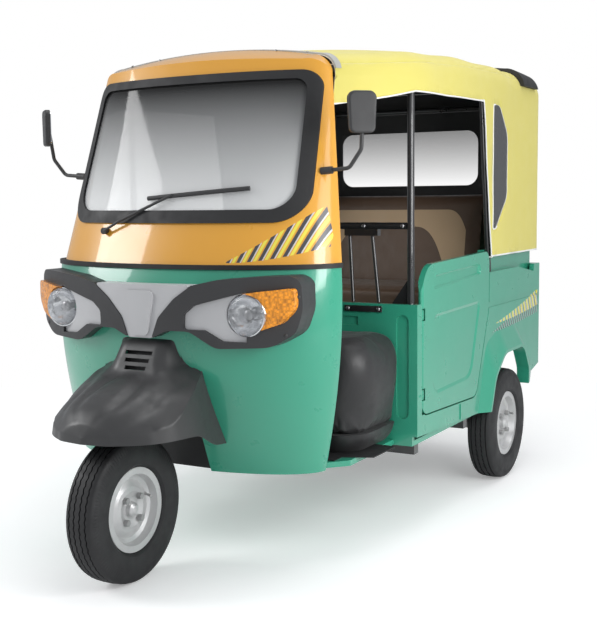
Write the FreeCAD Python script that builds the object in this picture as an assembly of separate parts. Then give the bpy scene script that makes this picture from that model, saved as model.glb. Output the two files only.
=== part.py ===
import FreeCAD, Part
import math
import os

# Three-wheeled passenger auto rickshaw, in millimetres.
# +X is the vehicle's left, +Y points to its tail, +Z is up.
# The origin is on the ground under the middle of the vehicle.
# Lengths "behind" are measured from the front axle towards the tail.

Vec = FreeCAD.Vector

# Overall layout
LENGTH = 2748.0
WHEELBASE = 1920.0
TRACK = 1322.0
BODY_HALF = 690.0
GROUND_GAP = 340.0
JOINT_GAP = 6.0
SEAT_GAP = 0.3
RUN_GAP = 0.05

# Tyres and rims
TYRE_R = 253.0
TYRE_W = 120.0
BEAD_R = 127.0
RIM_FLANGE_R = 145.5
RIM_HALF = 42.0
RIM_T = 4.0
AXLE_R = 15.0
HUB_R = 34.0
DRUM_R = 92.0
NUT_CIRCLE_R = 54.0
NUT_R = 9.0

# Walls
WALL = 22.0
SHELL_T = 14.0
CANOPY_T = 10.0
PLATE_T = 8.0
GUARD_T = 7.0

# Heights
FLOOR_Z = 365.0
FLOOR_T = 20.0
BELT_Z = 1060.0
BELT_H = 16.0
BELT_PROUD = 7.0
LEDGE_Z = 961.0
BULKHEAD_Z = 891.0
CANOPY_LOW_Z = 1028.0
STRIP_LAP = 30.0
HEADER_Z = 1757.0
ROOF_FRONT_Z = 1842.0
ROOF_TOP_Z = 1911.0
SEAT_TOP_Z = 882.0
SEAT_CUSHION_T = 120.0
BACKREST_TOP_Z = 1317.0
DRIVER_TOP_Z = 780.0
TAIL_LOW_Z = 515.0

# Green front shell, each level as height, half width, how far its nose is behind the axle
SHELL_REAR = 462.0
SHELL_LEVELS = ((GROUND_GAP, 532.0, 262.0), (560.0, 572.0, 190.0), (820.0, 599.0, 150.0), (BELT_Z, 601.0, 188.0))

# Orange cab above the belt
CAB_HALF = 594.0
CAB_NOSE = 188.0
CAB_REAR = 480.0
SCREEN_RAKE = 0.402
PILLAR_LEAN_Y = 0.184
PILLAR_LEAN_X = 0.14
SHOULDER_R = 95.0
CROWN_RISE = 36.0
LAP = 6.0

# Windscreen, as half widths and heights of its seal seen from the front
SCREEN_LOW = (516.0, 1216.0)
SCREEN_HIGH = (488.0, 1745.0)
SCREEN_LOW_R = 105.0
SCREEN_HIGH_R = 70.0
SEAL_W = 45.0
SEAL_TOP_W = 31.0
SEAL_PROUD = 8.0
GLASS_T = 6.0
GLASS_SINK = 2.0

# Steering
RAKE_DEG = 28.0
COLUMN_R = 24.0
STEER_TOP_Z = 1050.0
BAR_R = 12.0
BAR_HALF = 215.0
GRIP_L = 75.0
GRIP_R = 16.0
ARM_X = 92.0
CROWN_UP = 282.0

# Places behind the front axle
WELL_REAR = 312.0
BULKHEAD_Y = 915.0
POLE_Y = 942.0
DOOR_FRONT = 966.0
SEAT_FRONT = 1625.0
BACKREST_FRONT = 2120.0
FRAME_REAR = 2321.0
CANOPY_REAR = 2425.0
ROOF_HEADER_Y = 590.0
ROOF_FULL_Y = 1060.0
ROOF_FRONT_Y = 620.0
ROOF_TOP_Y = 1800.0
LAMP_PROUD = 33.0

# Frame tubes
POLE_R = 13.5
POLE_X = 652.0
REAR_POST_X = 600.0
TUBE_R = 12.0
CROSSBAR_R = 13.5
RAIL_X = 300.0
RAIL_W = 60.0
RAIL_H = 60.0

# Lamps and their mask, seen from the front
LAMP_X = 394.0
LAMP_Z = 914.0
LAMP_R = 73.0
LAMP_FRONT = 152.0
MASK_HALF = 684.0
MASK_NOSE = 105.0
MASK_LOW_Z = 760.0
SIGNAL_PROUD = 22.0
MASK_HIGH_Z = 1058.0

# Door hinge and tail lid
HINGE_Z = (520.0, 830.0)
HINGE_H = 36.0
PIN_R = 5.0
HINGE_ROOM = 9.0
LID_HALF = 400.0
LID_LOW_Z = 560.0
LID_TOP_Z = 880.0
PLATE_HOLE_X = 90.0
PLATE_HOLE_Z = 925.0
PLATE_HOLE_R = 4.0

# Worked out places
FRONT_Y = -LENGTH / 2 + TYRE_R
REAR_Y = FRONT_Y + WHEELBASE
TAIL_Y = LENGTH / 2 - LAMP_PROUD
TAIL = TAIL_Y - FRONT_Y
INNER = BODY_HALF - WALL
RISER_REAR = CANOPY_REAR - CANOPY_T - SEAT_GAP
STRIP_TOP_Z = CANOPY_LOW_Z + STRIP_LAP
STRIP_IN = INNER - 36.0
HEADER_HALF = CAB_HALF - PILLAR_LEAN_X * (HEADER_Z - BELT_Z) + LAP


# General shapes


def y_at(behind):
    return FRONT_Y + behind


def along(points):
    return [(y_at(y), z) for y, z in points]


def box(x0, x1, y0, y1, z0, z1):
    return Part.makeBox(x1 - x0, y1 - y0, z1 - z0, Vec(x0, y0, z0))


def cylinder(start, end, radius):
    way = end - start
    return Part.makeCylinder(radius, way.Length, start, way)


def mirrored(shape):
    return shape.mirror(Vec(0, 0, 0), Vec(1, 0, 0))


def both_sides(shape):
    return Part.makeCompound([shape, mirrored(shape)])


def fused(shapes):
    body = shapes[0]
    for other in shapes[1:]:
        body = body.fuse(other)
    return body.removeSplitter()


def corner_arc(before, corner, after, radius):
    """Start, middle and end of the arc that rounds one corner of a path."""
    a = Vec(before - corner)
    b = Vec(after - corner)
    room = 0.49 * min(a.Length, b.Length)
    a.normalize()
    b.normalize()
    half = a.getAngle(b) / 2
    if radius < 0.01 or half > math.pi / 2 - 0.005:
        return corner, None, corner
    reach = min(radius / math.tan(half), room)
    bend = reach * math.tan(half)
    middle = corner + (a + b).normalize() * (bend / math.sin(half) - bend)
    return corner + a * reach, middle, corner + b * reach


def rounded_wire(points, radius, closed=True):
    """A path of straight runs with round corners; radius is one value or one a corner."""
    count = len(points)
    radii = radius if isinstance(radius, (list, tuple)) else [radius] * count
    joints = []
    for i, corner in enumerate(points):
        if not closed and i in (0, count - 1):
            joints.append((corner, None, corner))
        else:
            joints.append(corner_arc(points[i - 1], corner, points[(i + 1) % count], radii[i]))
    edges = []
    for i, (start, middle, end) in enumerate(joints):
        if middle is not None:
            edges.append(Part.Arc(start, middle, end).toShape())
        if not closed and i == count - 1:
            break
        following = joints[(i + 1) % count][0]
        if (following - end).Length > 0.001:
            edges.append(Part.LineSegment(end, following).toShape())
    return Part.Wire(edges)


def offset_outline(points, grow):
    """Moves every edge of a flat outline outwards by grow."""
    count = len(points)
    area = sum(
        points[i - 1][0] * points[i][1] - points[i][0] * points[i - 1][1] for i in range(count)
    )
    turn = 1.0 if area > 0 else -1.0
    lines = []
    for i in range(count):
        ax, az = points[i]
        bx, bz = points[(i + 1) % count]
        length = math.hypot(bx - ax, bz - az)
        nx = turn * (bz - az) / length
        nz = -turn * (bx - ax) / length
        lines.append((nx, nz, nx * ax + nz * az + grow))
    moved = []
    for i in range(count):
        ax, az, a = lines[i - 1]
        bx, bz, b = lines[i]
        cross = ax * bz - az * bx
        moved.append(((a * bz - b * az) / cross, (ax * b - bx * a) / cross))
    return moved


def side_wire(points, radius, x):
    return rounded_wire([Vec(x, y, z) for y, z in points], radius)


def side_prism(points, radius, x0, x1):
    """Points are (y, z), extruded along X."""
    return Part.Face(side_wire(points, radius, x0)).extrude(Vec(x1 - x0, 0, 0))


def front_prism(points, radius, y0, y1):
    """Points are (x, z), extruded along Y."""
    wire = rounded_wire([Vec(x, y0, z) for x, z in points], radius)
    return Part.Face(wire).extrude(Vec(0, y1 - y0, 0))


def plan_prism(points, radius, z0, z1):
    """Points are (x, y), extruded along Z."""
    wire = rounded_wire([Vec(x, y, z0) for x, y in points], radius)
    return Part.Face(wire).extrude(Vec(0, 0, z1 - z0))


def rounded_box(x0, x1, y0, y1, z0, z1, radius, edges="all"):
    solid = box(x0, x1, y0, y1, z0, z1)
    picked = solid.Edges
    if edges == "vertical":
        picked = [e for e in solid.Edges if abs(e.tangentAt(e.FirstParameter).z) > 0.9]
    return solid.makeFillet(radius, picked)


def pressed(points, radii, x_face, depth, slope):
    """Cutter for a pressing in a side face: its walls slope in by slope over the depth."""
    outer = side_wire(offset_outline(points, slope / depth), radii, x_face + 1)
    inner = side_wire(offset_outline(points, -slope), [max(2.0, r - slope) for r in radii], x_face - depth)
    return Part.makeLoft([outer, inner], True, True)


def bent_tube(points, radius, bend):
    path = rounded_wire([Vec(*p) for p in points], bend, closed=False)
    start = path.Edges[0]
    way = start.tangentAt(start.FirstParameter)
    ring = Part.Wire([Part.makeCircle(radius, Vec(*points[0]), way)])
    return Part.Wire(path.Edges).makePipeShell([ring], True, False)


def turned(points, centre, axis):
    """Points are (along, radius) pairs on the axis, turned into a solid."""
    side = axis.cross(Vec(0, 0, 1)) if abs(axis.z) < 0.9 else Vec(1, 0, 0)
    side.normalize()
    corners = [centre + axis * a + side * r for a, r in points]
    face = Part.Face(Part.makePolygon(corners + corners[:1]))
    return face.revolve(centre, axis, 360)


def biggest(shape):
    return sorted(shape.Solids, key=lambda s: s.Volume)[-1]


def save(name, shape):
    shape.exportStep("parts/" + name + ".step")


# Front cab


def plan_ring(z, half, nose, rear, tail=0.0):
    """Half an ellipse in plan; tail carries its sides straight on behind the rear edge."""
    if half < rear - nose:
        raise ValueError("the cab must be wider than it is deep")
    curve = Part.Ellipse(Vec(0, rear, z), half, rear - nose)
    arc = Part.ArcOfEllipse(curve, math.pi, 2 * math.pi).toShape()
    left = Vec(-half, rear, z)
    right = Vec(half, rear, z)
    edges = [arc]
    if tail > 0:
        back = Vec(0, tail, 0)
        edges.append(Part.makeLine(right, right + back))
        edges.append(Part.makeLine(right + back, left + back))
        edges.append(Part.makeLine(left + back, left))
    else:
        edges.append(Part.makeLine(right, left))
    return Part.Wire(edges)


def lower_body(offset, low=0.0, high=0.0, tail=0.0):
    """The green part of the cab as a solid, swollen by offset all round."""
    rings = []
    last = len(SHELL_LEVELS) - 1
    for i, (z, half, nose) in enumerate(SHELL_LEVELS):
        level = z - low if i == 0 else z + high if i == last else z
        rings.append(plan_ring(level, half + offset, y_at(nose) - offset, y_at(SHELL_REAR), tail))
    return Part.makeLoft(rings, True, False)


def cab_half(z):
    return CAB_HALF - PILLAR_LEAN_X * (z - BELT_Z)


def cab_nose(z):
    return CAB_NOSE + SCREEN_RAKE * (z - BELT_Z)


def cab_rear(z):
    return CAB_REAR + PILLAR_LEAN_Y * (z - BELT_Z)


def screen_point(x, z, offset):
    """A point on the cab's raked front."""
    half = cab_half(z) + offset
    depth = cab_rear(z) - cab_nose(z) + offset
    return Vec(x, y_at(cab_rear(z) - depth * math.sqrt(1 - (x / half) ** 2)), z)


def upper_body(offset, bottom, top, tail=0.0):
    rings = []
    for z in (bottom, top):
        rings.append(plan_ring(z, cab_half(z) + offset, y_at(cab_nose(z)) - offset, y_at(cab_rear(z)), tail))
    return Part.makeLoft(rings, True, True)


def roof_half(y):
    """Half width of the roof: narrow at the windscreen header, full behind the front poles."""
    return BODY_HALF - (BODY_HALF - HEADER_HALF) * roof_taper(y) ** 2


def roof_taper(y):
    """Goes from one at the windscreen header to nothing where the roof has its full width."""
    return max(0.0, (y_at(ROOF_FULL_Y) - y) / (ROOF_FULL_Y - ROOF_HEADER_Y))


def roof_crown(y):
    top_at = y_at(ROOF_TOP_Y)
    front_at = y_at(ROOF_FRONT_Y)
    return ROOF_TOP_Z - (ROOF_TOP_Z - ROOF_FRONT_Z) * ((y - top_at) / (front_at - top_at)) ** 2


def roof_ring(y, half, crown, low, lean=0.0):
    """Cross section of the roof: sides that may lean, round shoulders and a shallow crown."""
    shoulder = crown - CROWN_RISE
    diagonal = SHOULDER_R * math.sqrt(0.5)
    arc_x = half - SHOULDER_R
    arc_z = shoulder - SHOULDER_R
    base = Vec(half + lean * (arc_z - low), y, low)
    side = Vec(half, y, arc_z)
    middle = Vec(arc_x + diagonal, y, arc_z + diagonal)
    top = Vec(arc_x, y, shoulder)
    centre = Vec(0, y, crown)

    def other(p):
        return Vec(-p.x, p.y, p.z)

    edges = [
        Part.LineSegment(base, side).toShape(),
        Part.Arc(side, middle, top).toShape(),
        Part.Arc(top, centre, other(top)).toShape(),
        Part.Arc(other(top), other(middle), other(side)).toShape(),
        Part.LineSegment(other(side), other(base)).toShape(),
        Part.LineSegment(other(base), base).toShape(),
    ]
    return Part.Wire(edges)


CAP_EASE = 3.0
CAP_STATIONS = ((380.0, 118.0), (430.0, 76.0), (500.0, 38.0), (570.0, 12.0), (700.0, -14.0))


def screen_cap(offset):
    """What rounds the cab's front off into its roof."""
    rings = []
    for behind, drop in CAP_STATIONS:
        crown = ROOF_FRONT_Z - drop + offset
        half = cab_half(crown - CROWN_RISE - SHOULDER_R) + CAP_EASE + offset
        rings.append(roof_ring(y_at(behind), half, crown, 1000.0, PILLAR_LEAN_X))
    cap = Part.makeLoft(rings, True, False)
    side = HEADER_Z - SHOULDER_R - 60
    skirt = box(-BODY_HALF, BODY_HALF, y_at(0), y_at(720), 900, side)
    front = box(-BODY_HALF, BODY_HALF, y_at(0), y_at(380.5), 900, ROOF_FRONT_Z - CAP_STATIONS[0][1] + offset)
    return cap.fuse(skirt).fuse(front)


def cab_solid(offset, bottom, tail=0.0):
    """The whole orange cab, solid, swollen by offset."""
    return upper_body(offset, bottom, ROOF_TOP_Z, tail).common(screen_cap(offset))


def screen_prism(inset, top_inset=None):
    """The screen's opening, moved in by inset and at its top edge by top_inset."""
    wide, low = SCREEN_LOW
    narrow, high = SCREEN_HIGH
    points = offset_outline([(-wide, low), (wide, low), (narrow, high), (-narrow, high)], -inset)
    if top_inset is not None:
        points = points[:2] + [(x, high - top_inset) for x, _ in points[2:]]
    radii = [r - 0.6 * inset for r in (SCREEN_LOW_R, SCREEN_LOW_R, SCREEN_HIGH_R, SCREEN_HIGH_R)]
    return front_prism(points, radii, y_at(0), y_at(720))


def make_cab():
    bottom = BELT_Z + BELT_H

    def layer(outer, inner):
        return cab_solid(outer, bottom).cut(cab_solid(inner, bottom - 5, 40.0))

    save("front_shell_upper", layer(0, -SHELL_T).cut(screen_prism(0)))
    ring = screen_prism(SEAT_GAP).cut(screen_prism(SEAL_W, SEAL_TOP_W))
    save("windscreen_seal", layer(SEAL_PROUD, -SHELL_T).common(ring))
    pane = layer(-GLASS_SINK, -GLASS_SINK - GLASS_T).common(screen_prism(SEAL_W + SEAT_GAP, SEAL_TOP_W + SEAT_GAP))
    save("windscreen", pane)


# Lower front shell

ARCH_HALF = 175.0
ARCH_TOP = 560.0
TUNNEL_HALF = 70.0
TUNNEL_TOP = 700.0
WELL_HALF = 240.0
WELL_TOP = 612.0


def steer_way():
    lean = math.radians(RAKE_DEG)
    return Vec(0, math.sin(lean), math.cos(lean))


def steer_point(z):
    """A point on the steering axis, which runs through the wheel's centre."""
    return Vec(0, FRONT_Y + (z - TYRE_R) * math.tan(math.radians(RAKE_DEG)), z)


def arch_cut():
    points = [
        (-ARCH_HALF, GROUND_GAP - 40),
        (ARCH_HALF, GROUND_GAP - 40),
        (ARCH_HALF - 10, ARCH_TOP),
        (TUNNEL_HALF, ARCH_TOP + 40),
        (TUNNEL_HALF, TUNNEL_TOP),
        (-TUNNEL_HALF, TUNNEL_TOP),
        (-TUNNEL_HALF, ARCH_TOP + 40),
        (-ARCH_HALF + 10, ARCH_TOP),
    ]
    return front_prism(points, (0, 0, 60, 20, 20, 20, 20, 60), y_at(0), y_at(420))


def belt_ring(half, nose, tail):
    ring = plan_ring(BELT_Z, half, y_at(nose), y_at(SHELL_REAR), tail)
    return Part.Face(ring).extrude(Vec(0, 0, BELT_H))


def make_lower_shell():
    inner = lower_body(-SHELL_T, 5.0, 5.0, 40.0)
    save("front_shell_lower", lower_body(0).cut(inner).cut(arch_cut()))
    half, nose = SHELL_LEVELS[-1][1:]
    outer = belt_ring(half + BELT_PROUD, nose - BELT_PROUD, 0)
    save("belt_moulding", outer.cut(belt_ring(half - SHELL_T, nose + SHELL_T, 40)))


def make_wheel_well():
    """Inner arch behind the front wheel, closed off from the cab."""
    inside = lower_body(-SHELL_T - SEAT_GAP)
    outer = box(-WELL_HALF, WELL_HALF, y_at(0), y_at(WELL_REAR), GROUND_GAP, WELL_TOP)
    wall = WELL_HALF - PLATE_T
    hollow = box(-wall, wall, y_at(-10), y_at(WELL_REAR - PLATE_T), 0, WELL_TOP - PLATE_T)
    column = cylinder(steer_point(500), steer_point(800), COLUMN_R + 12)
    save("front_wheel_well", outer.cut(hollow).common(inside).cut(column))


# Lamps and their mask

MASK_OUTLINE = (
    (208, 1012),
    (300, 1032),
    (430, 1042),
    (556, 1046),
    (561, 930),
    (542, 852),
    (470, 806),
    (290, 800),
    (196, 856),
    (112, 856),
    (50, 828),
    (78, 900),
    (140, 965),
)
MASK_CORNER = (6, 90, 200, 42, 160, 60, 110, 70, 60, 50, 4, 60, 60)
TRIM_OUTLINE = ((-208, 1012), (208, 1012), (140, 965), (78, 900), (50, 828), (-50, 828), (-78, 900), (-140, 965))
TRIM_CORNER = (6, 6, 60, 60, 14, 14, 60, 60)
COLUMN_OUTLINE = ((-66, 992), (66, 992), (36, 836), (-36, 836))
BEZEL_OUTLINE = ((176, 862), (178, 914), (214, 944), (LAMP_X, 992), (LAMP_X, 822), (312, 826), (250, 862))
BEZEL_CORNER = (10, 20, 30, 0, 0, 20, 16)
SIGNAL_OUTLINE = ((LAMP_X, 988), (440, 994), (546, 1006), (550, 936), (510, 888), (LAMP_X, 846))
SIGNAL_CORNER = (0, 20, 14, 60, 40, 0)


def mask_body(offset):
    """The upright front of the lamp mask, fuller than the shell behind it."""
    ring = plan_ring(MASK_LOW_Z, MASK_HALF + offset, y_at(MASK_NOSE) - offset, y_at(SHELL_REAR))
    return Part.Face(ring).extrude(Vec(0, 0, MASK_HIGH_Z - MASK_LOW_Z))


def lamp_prism(outline, corner, grow=0.0):
    return front_prism(offset_outline(outline, grow), corner, y_at(-80), y_at(SHELL_REAR - 20))


def front_piece(outline, corner, offset):
    """A piece of the lamp mask, from its front face back to the shell."""
    prism = lamp_prism(outline, corner, -SEAT_GAP / 2)
    return mask_body(offset).common(prism).cut(lower_body(SEAT_GAP))


def lamp_solid():
    """Round lens with a domed front, on a bucket that reaches the cab's skin."""
    centre = Vec(LAMP_X, y_at(LAMP_FRONT), LAMP_Z)
    radius = LAMP_R - SEAT_GAP
    profile = [(0, 0), (2, 30), (8, 56), (18, radius - 3), (22, radius), (170, radius), (170, 0)]
    return turned(profile, centre, Vec(0, 1, 0)).cut(lower_body(SEAT_GAP))


def make_front_lamps():
    lamp_hole = cylinder(Vec(LAMP_X, y_at(60), LAMP_Z), Vec(LAMP_X, y_at(420), LAMP_Z), LAMP_R)
    bezel = front_piece(BEZEL_OUTLINE, BEZEL_CORNER, -12).cut(lamp_hole)
    signal = front_piece(SIGNAL_OUTLINE, SIGNAL_CORNER, SIGNAL_PROUD).cut(lamp_hole)
    mask = front_piece(MASK_OUTLINE, MASK_CORNER, 0)
    mask = mask.cut(lamp_hole)
    mask = mask.cut(lamp_prism(BEZEL_OUTLINE, BEZEL_CORNER, SEAT_GAP / 2))
    mask = mask.cut(lamp_prism(SIGNAL_OUTLINE, SIGNAL_CORNER, SEAT_GAP / 2))
    save("headlamp_mask", both_sides(mask))
    save("front_turn_signals", both_sides(signal))
    save("headlamps", both_sides(lamp_solid()))
    trim = front_piece(TRIM_OUTLINE, TRIM_CORNER, -4)
    raised = front_piece(COLUMN_OUTLINE, 20, 3)
    save("lamp_trim", Part.makeCompound([fused([trim, raised]), bezel, mirrored(bezel)]))


# Front mudguard

# Its top, each station as place, height of the spine, half width and height of the crease
GUARD_STATIONS = (
    (-204.0, 512.0, 60.0, 507.0),
    (-113.0, 546.0, 110.0, 532.0),
    (-44.0, 600.0, 146.0, 541.0),
    (11.0, 638.0, 169.0, 556.0),
    (50.0, 674.0, 184.0, 575.0),
    (81.0, 704.0, 190.0, 604.0),
    (120.0, 730.0, 197.0, 645.0),
    (185.0, 752.0, 203.0, 700.0),
    (320.0, 770.0, 215.0, 740.0),
)
GUARD_VALLEY = 10.0
# Its skirt in plan at two heights, and the skirt's lower edge seen from the side
SKIRT_LOW_Z = 430.0
SKIRT_HIGH_Z = 800.0
SKIRT_LOW = ((0, -192), (122, -108), (168, -55), (188, 0), (206, 60), (230, 165), (264, 245), (292, 320))
SKIRT_HIGH = ((0, -160), (88, -88), (130, -45), (149, 0), (164, 60), (188, 165), (200, 245), (208, 320))
SKIRT_EDGE = ((-220, 512), (-105, 501), (0, 513), (60, 515), (165, 479), (245, 456), (330, 440))
# Its neck, each level as height, half width in front and against the cab, place of its front
GUARD_NECK = ((640.0, 150.0, 215.0, 34.0), (700.0, 132.0, 196.0, 72.0), (740.0, 108.0, 160.0, 88.0),
              (780.0, 94.0, 124.0, 100.0), (818.0, 88.0, 108.0, 112.0))


def smooth_edge(points):
    curve = Part.BSplineCurve()
    curve.interpolate(points)
    return curve.toShape()


def guard_ring(behind, spine, half, crease, inset):
    """Section of the mudguard's top: a spine, a valley each side of it and full lobes."""
    fall = spine - crease
    profile = (
        (0, spine),
        (34, spine - GUARD_VALLEY),
        (0.5 * half, spine - 0.12 * fall - 0.4 * GUARD_VALLEY),
        (0.78 * half, crease + 0.55 * fall),
        (half, crease),
        (half + 60, crease - 0.7 * fall - 20),
    )
    right = [Vec(x, y_at(behind), z - inset) for x, z in profile]
    points = [Vec(-p.x, p.y, p.z) for p in reversed(right[1:])] + right
    foot = [Vec(points[-1].x, points[-1].y, 300), Vec(points[0].x, points[0].y, 300)]
    sides = Part.makePolygon([points[-1]] + foot + [points[0]]).Edges
    return Part.Wire([smooth_edge(points)] + sides)


def skirt_ring(outline, z, inset):
    """Plan of the skirt at one height, moved in by inset."""
    right = [Vec(max(x - inset, 0), y_at(y), z) for x, y in outline]
    right[0].y += inset
    points = [Vec(-p.x, p.y, p.z) for p in reversed(right[1:])] + right
    return Part.Wire([smooth_edge(points), Part.makeLine(points[-1], points[0])])


def guard_dome(inset):
    top = Part.makeLoft([guard_ring(*station, inset) for station in GUARD_STATIONS], True, False)
    rings = [skirt_ring(SKIRT_LOW, SKIRT_LOW_Z, inset), skirt_ring(SKIRT_HIGH, SKIRT_HIGH_Z, inset)]
    walls = Part.makeLoft(rings, True, True)
    return top.common(walls)


def guard_neck(inset):
    """Upright neck of the mudguard against the cab, flared into its top."""
    rings = []
    for z, front_half, rear_half, behind in GUARD_NECK:
        level = z - inset if z == GUARD_NECK[-1][0] else z
        front = y_at(behind + inset)
        near, far = front_half - inset, rear_half - inset
        points = [Vec(-near, front, level), Vec(near, front, level), Vec(far, y_at(300), level), Vec(-far, y_at(300), level)]
        rings.append(rounded_wire(points, (34, 34, 10, 10)))
    return Part.makeLoft(rings, True, False)


def make_mudguard():
    outer = guard_dome(0).fuse(guard_neck(0))
    inner = guard_dome(GUARD_T).fuse(guard_neck(GUARD_T))
    below = side_prism(along(SKIRT_EDGE + ((330, 250), (-220, 250))), (0, 60, 80, 80, 90, 40, 0, 0, 0), -400, 400)
    guard = outer.cut(inner).cut(lower_body(SEAT_GAP)).cut(below)
    for level in range(3):
        z = 728 + 22 * level
        half = 44 + 7 * level
        slot = [(-half, z), (half, z), (half + 3, z + 10), (-half - 3, z + 10)]
        guard = guard.cut(front_prism(slot, 4, y_at(40), y_at(128)))
    save("front_mudguard", biggest(guard))


# Wheels


def tyre(centre_x, y):
    half = TYRE_W / 2
    seat = RIM_HALF - SEAT_GAP
    profile = [(-seat, BEAD_R + SEAT_GAP), (-seat, RIM_FLANGE_R + 1)]
    wall = [
        (0.93 * half, RIM_FLANGE_R + 10),
        (half, TYRE_R - 55),
        (0.95 * half, TYRE_R - 24),
        (0.84 * half, TYRE_R - 9),
        (0.5 * half, TYRE_R - 1.5),
    ]
    profile += [(-x, r) for x, r in wall] + [(0, TYRE_R)] + wall[::-1]
    profile += [(seat, RIM_FLANGE_R + 1), (seat, BEAD_R + SEAT_GAP)]
    return turned(profile, Vec(centre_x, y, TYRE_R), Vec(1, 0, 0))


def rim(centre_x, y, outward):
    """Pressed disc wheel, dished towards the outside, with its hub and nuts."""
    half = RIM_HALF
    profile = [
        (-half - RIM_T, RIM_FLANGE_R),
        (-half, RIM_FLANGE_R),
        (-half, BEAD_R),
        (half, BEAD_R),
        (half, RIM_FLANGE_R),
        (half + RIM_T, RIM_FLANGE_R),
        (half + RIM_T, BEAD_R - RIM_T),
        (20, BEAD_R - 12),
        (14, 102),
        (26, 78),
        (30, 62),
        (22, HUB_R + 6),
        (22, AXLE_R + RUN_GAP),
        (-30, AXLE_R + RUN_GAP),
        (-30, HUB_R),
        (16, HUB_R + 2),
        (24, 62),
        (20, 76),
        (6, 104),
        (10, BEAD_R - RIM_T - 8),
        (-half - RIM_T, BEAD_R - RIM_T),
    ]
    centre = Vec(centre_x, y, TYRE_R)
    way = Vec(outward, 0, 0)
    wheel = turned(profile, centre, way)
    cap = turned([(22, 0), (22, 27), (38, 24), (46, 14), (48, 0)], centre, way)
    pieces = [wheel, cap]
    for i in range(4):
        angle = math.pi / 4 + i * math.pi / 2
        spot = Vec(0, math.cos(angle), math.sin(angle)) * NUT_CIRCLE_R
        pieces.append(cylinder(centre + spot + way * 22, centre + spot + way * 40, NUT_R))
    return fused(pieces)


def make_wheels():
    save("front_tyre", tyre(0, FRONT_Y))
    save("front_rim", rim(0, FRONT_Y, 1))
    for name, side in (("left", 1), ("right", -1)):
        save("rear_tyre_" + name, tyre(side * TRACK / 2, REAR_Y))
        save("rear_rim_" + name, rim(side * TRACK / 2, REAR_Y, side))


# Steering and front suspension


def make_front_fork():
    """Column, crown above the tyre and a single arm down the right side to the stub axle."""
    hub = Vec(0, FRONT_Y, TYRE_R)
    way = steer_way()
    crown = hub + way * (CROWN_UP + 20)
    pivot = hub + Vec(-ARM_X, 40, 60)
    column = cylinder(hub + way * CROWN_UP, steer_point(STEER_TOP_Z), COLUMN_R)
    path = [tuple(crown + Vec(18, 0, 0)), tuple(crown + Vec(-ARM_X, 0, 0)), tuple(pivot)]
    leg = bent_tube(path, 20, 40)
    boss = cylinder(pivot - Vec(18, 0, 0), pivot + Vec(18, 0, 0), 28)
    link = cylinder(hub + Vec(-ARM_X - 12, 0, 0), hub + Vec(-ARM_X + 12, 0, 0), 32)
    strap = box(-ARM_X - 10, -ARM_X + 10, FRONT_Y - 8, FRONT_Y + 46, TYRE_R - 8, TYRE_R + 66)
    axle = cylinder(hub + Vec(-ARM_X - 10, 0, 0), hub + Vec(20, 0, 0), AXLE_R)
    plate = cylinder(hub + Vec(-66, 0, 0), hub + Vec(-56, 0, 0), DRUM_R)
    spacer = cylinder(hub + Vec(-ARM_X, 0, 0), hub + Vec(-56, 0, 0), AXLE_R + 8)
    above = box(-60, 60, y_at(300), y_at(500), STEER_TOP_Z, STEER_TOP_Z + 60)
    save("front_fork", fused([column, leg, boss, link, strap, axle, plate, spacer]).cut(above))


def make_steering_head():
    """Head tube that carries the column, on a cross plate inside the cab."""
    way = steer_way()
    foot = steer_point(700)
    head = steer_point(900)
    tube = cylinder(foot, head, COLUMN_R + 12)
    plate = box(-580, 580, head.y - 16, head.y - 4, 760, 890).common(lower_body(-SHELL_T - SEAT_GAP, 0, 0, 60))
    ribs = [box(s * 30 - 5, s * 30 + 5, foot.y, head.y - 4, 760, 890) for s in (-1, 1)]
    carrier = fused([tube, plate] + ribs)
    save("steering_head", carrier.cut(cylinder(foot - way * 60, head + way * 60, COLUMN_R + RUN_GAP)))


def make_dashboard():
    """Shelf across the cab under the screen, with the instrument pod ahead of the column."""
    shelf = lower_body(-SHELL_T - SEAT_GAP, 0, 0).common(box(-600, 600, y_at(0), y_at(330), 985, 1003))
    pod = rounded_box(-95, 95, y_at(250), y_at(322), 1000, 1046, 12, "vertical")
    clearance = cylinder(steer_point(900), steer_point(1200), COLUMN_R + 14)
    save("dashboard", fused([shelf, pod]).cut(clearance))


def make_handlebar():
    top = steer_point(STEER_TOP_Z)
    level = STEER_TOP_Z + 35
    clamp = rounded_box(-62, 62, top.y - 46, top.y + 46, STEER_TOP_Z + SEAT_GAP, STEER_TOP_Z + 70, 14)
    sweep = Vec(BAR_HALF - 120, 62, -6)
    way = Vec(sweep).normalize()
    tip = Vec(BAR_HALF, top.y + 62, level - 6) + way * (GRIP_L - 4)
    pieces = [clamp]
    grips = []
    for s in (-1, 1):
        bend = (s * 120, top.y, level)
        end = (s * tip.x, tip.y, tip.z)
        pieces.append(bent_tube([(s * 20, top.y, level), bend, end], BAR_R, 40))
        start = Vec(s * BAR_HALF, top.y + 62, level - 6)
        side_way = Vec(s * way.x, way.y, way.z)
        sleeve = cylinder(start, start + side_way * GRIP_L, GRIP_R)
        grips.append(sleeve.cut(cylinder(start - side_way * 5, Vec(*end) + side_way * 0.3, BAR_R + RUN_GAP)))
    save("handlebar", fused(pieces))
    save("handlebar_grips", Part.makeCompound(grips))


# Floor and chassis


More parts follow.
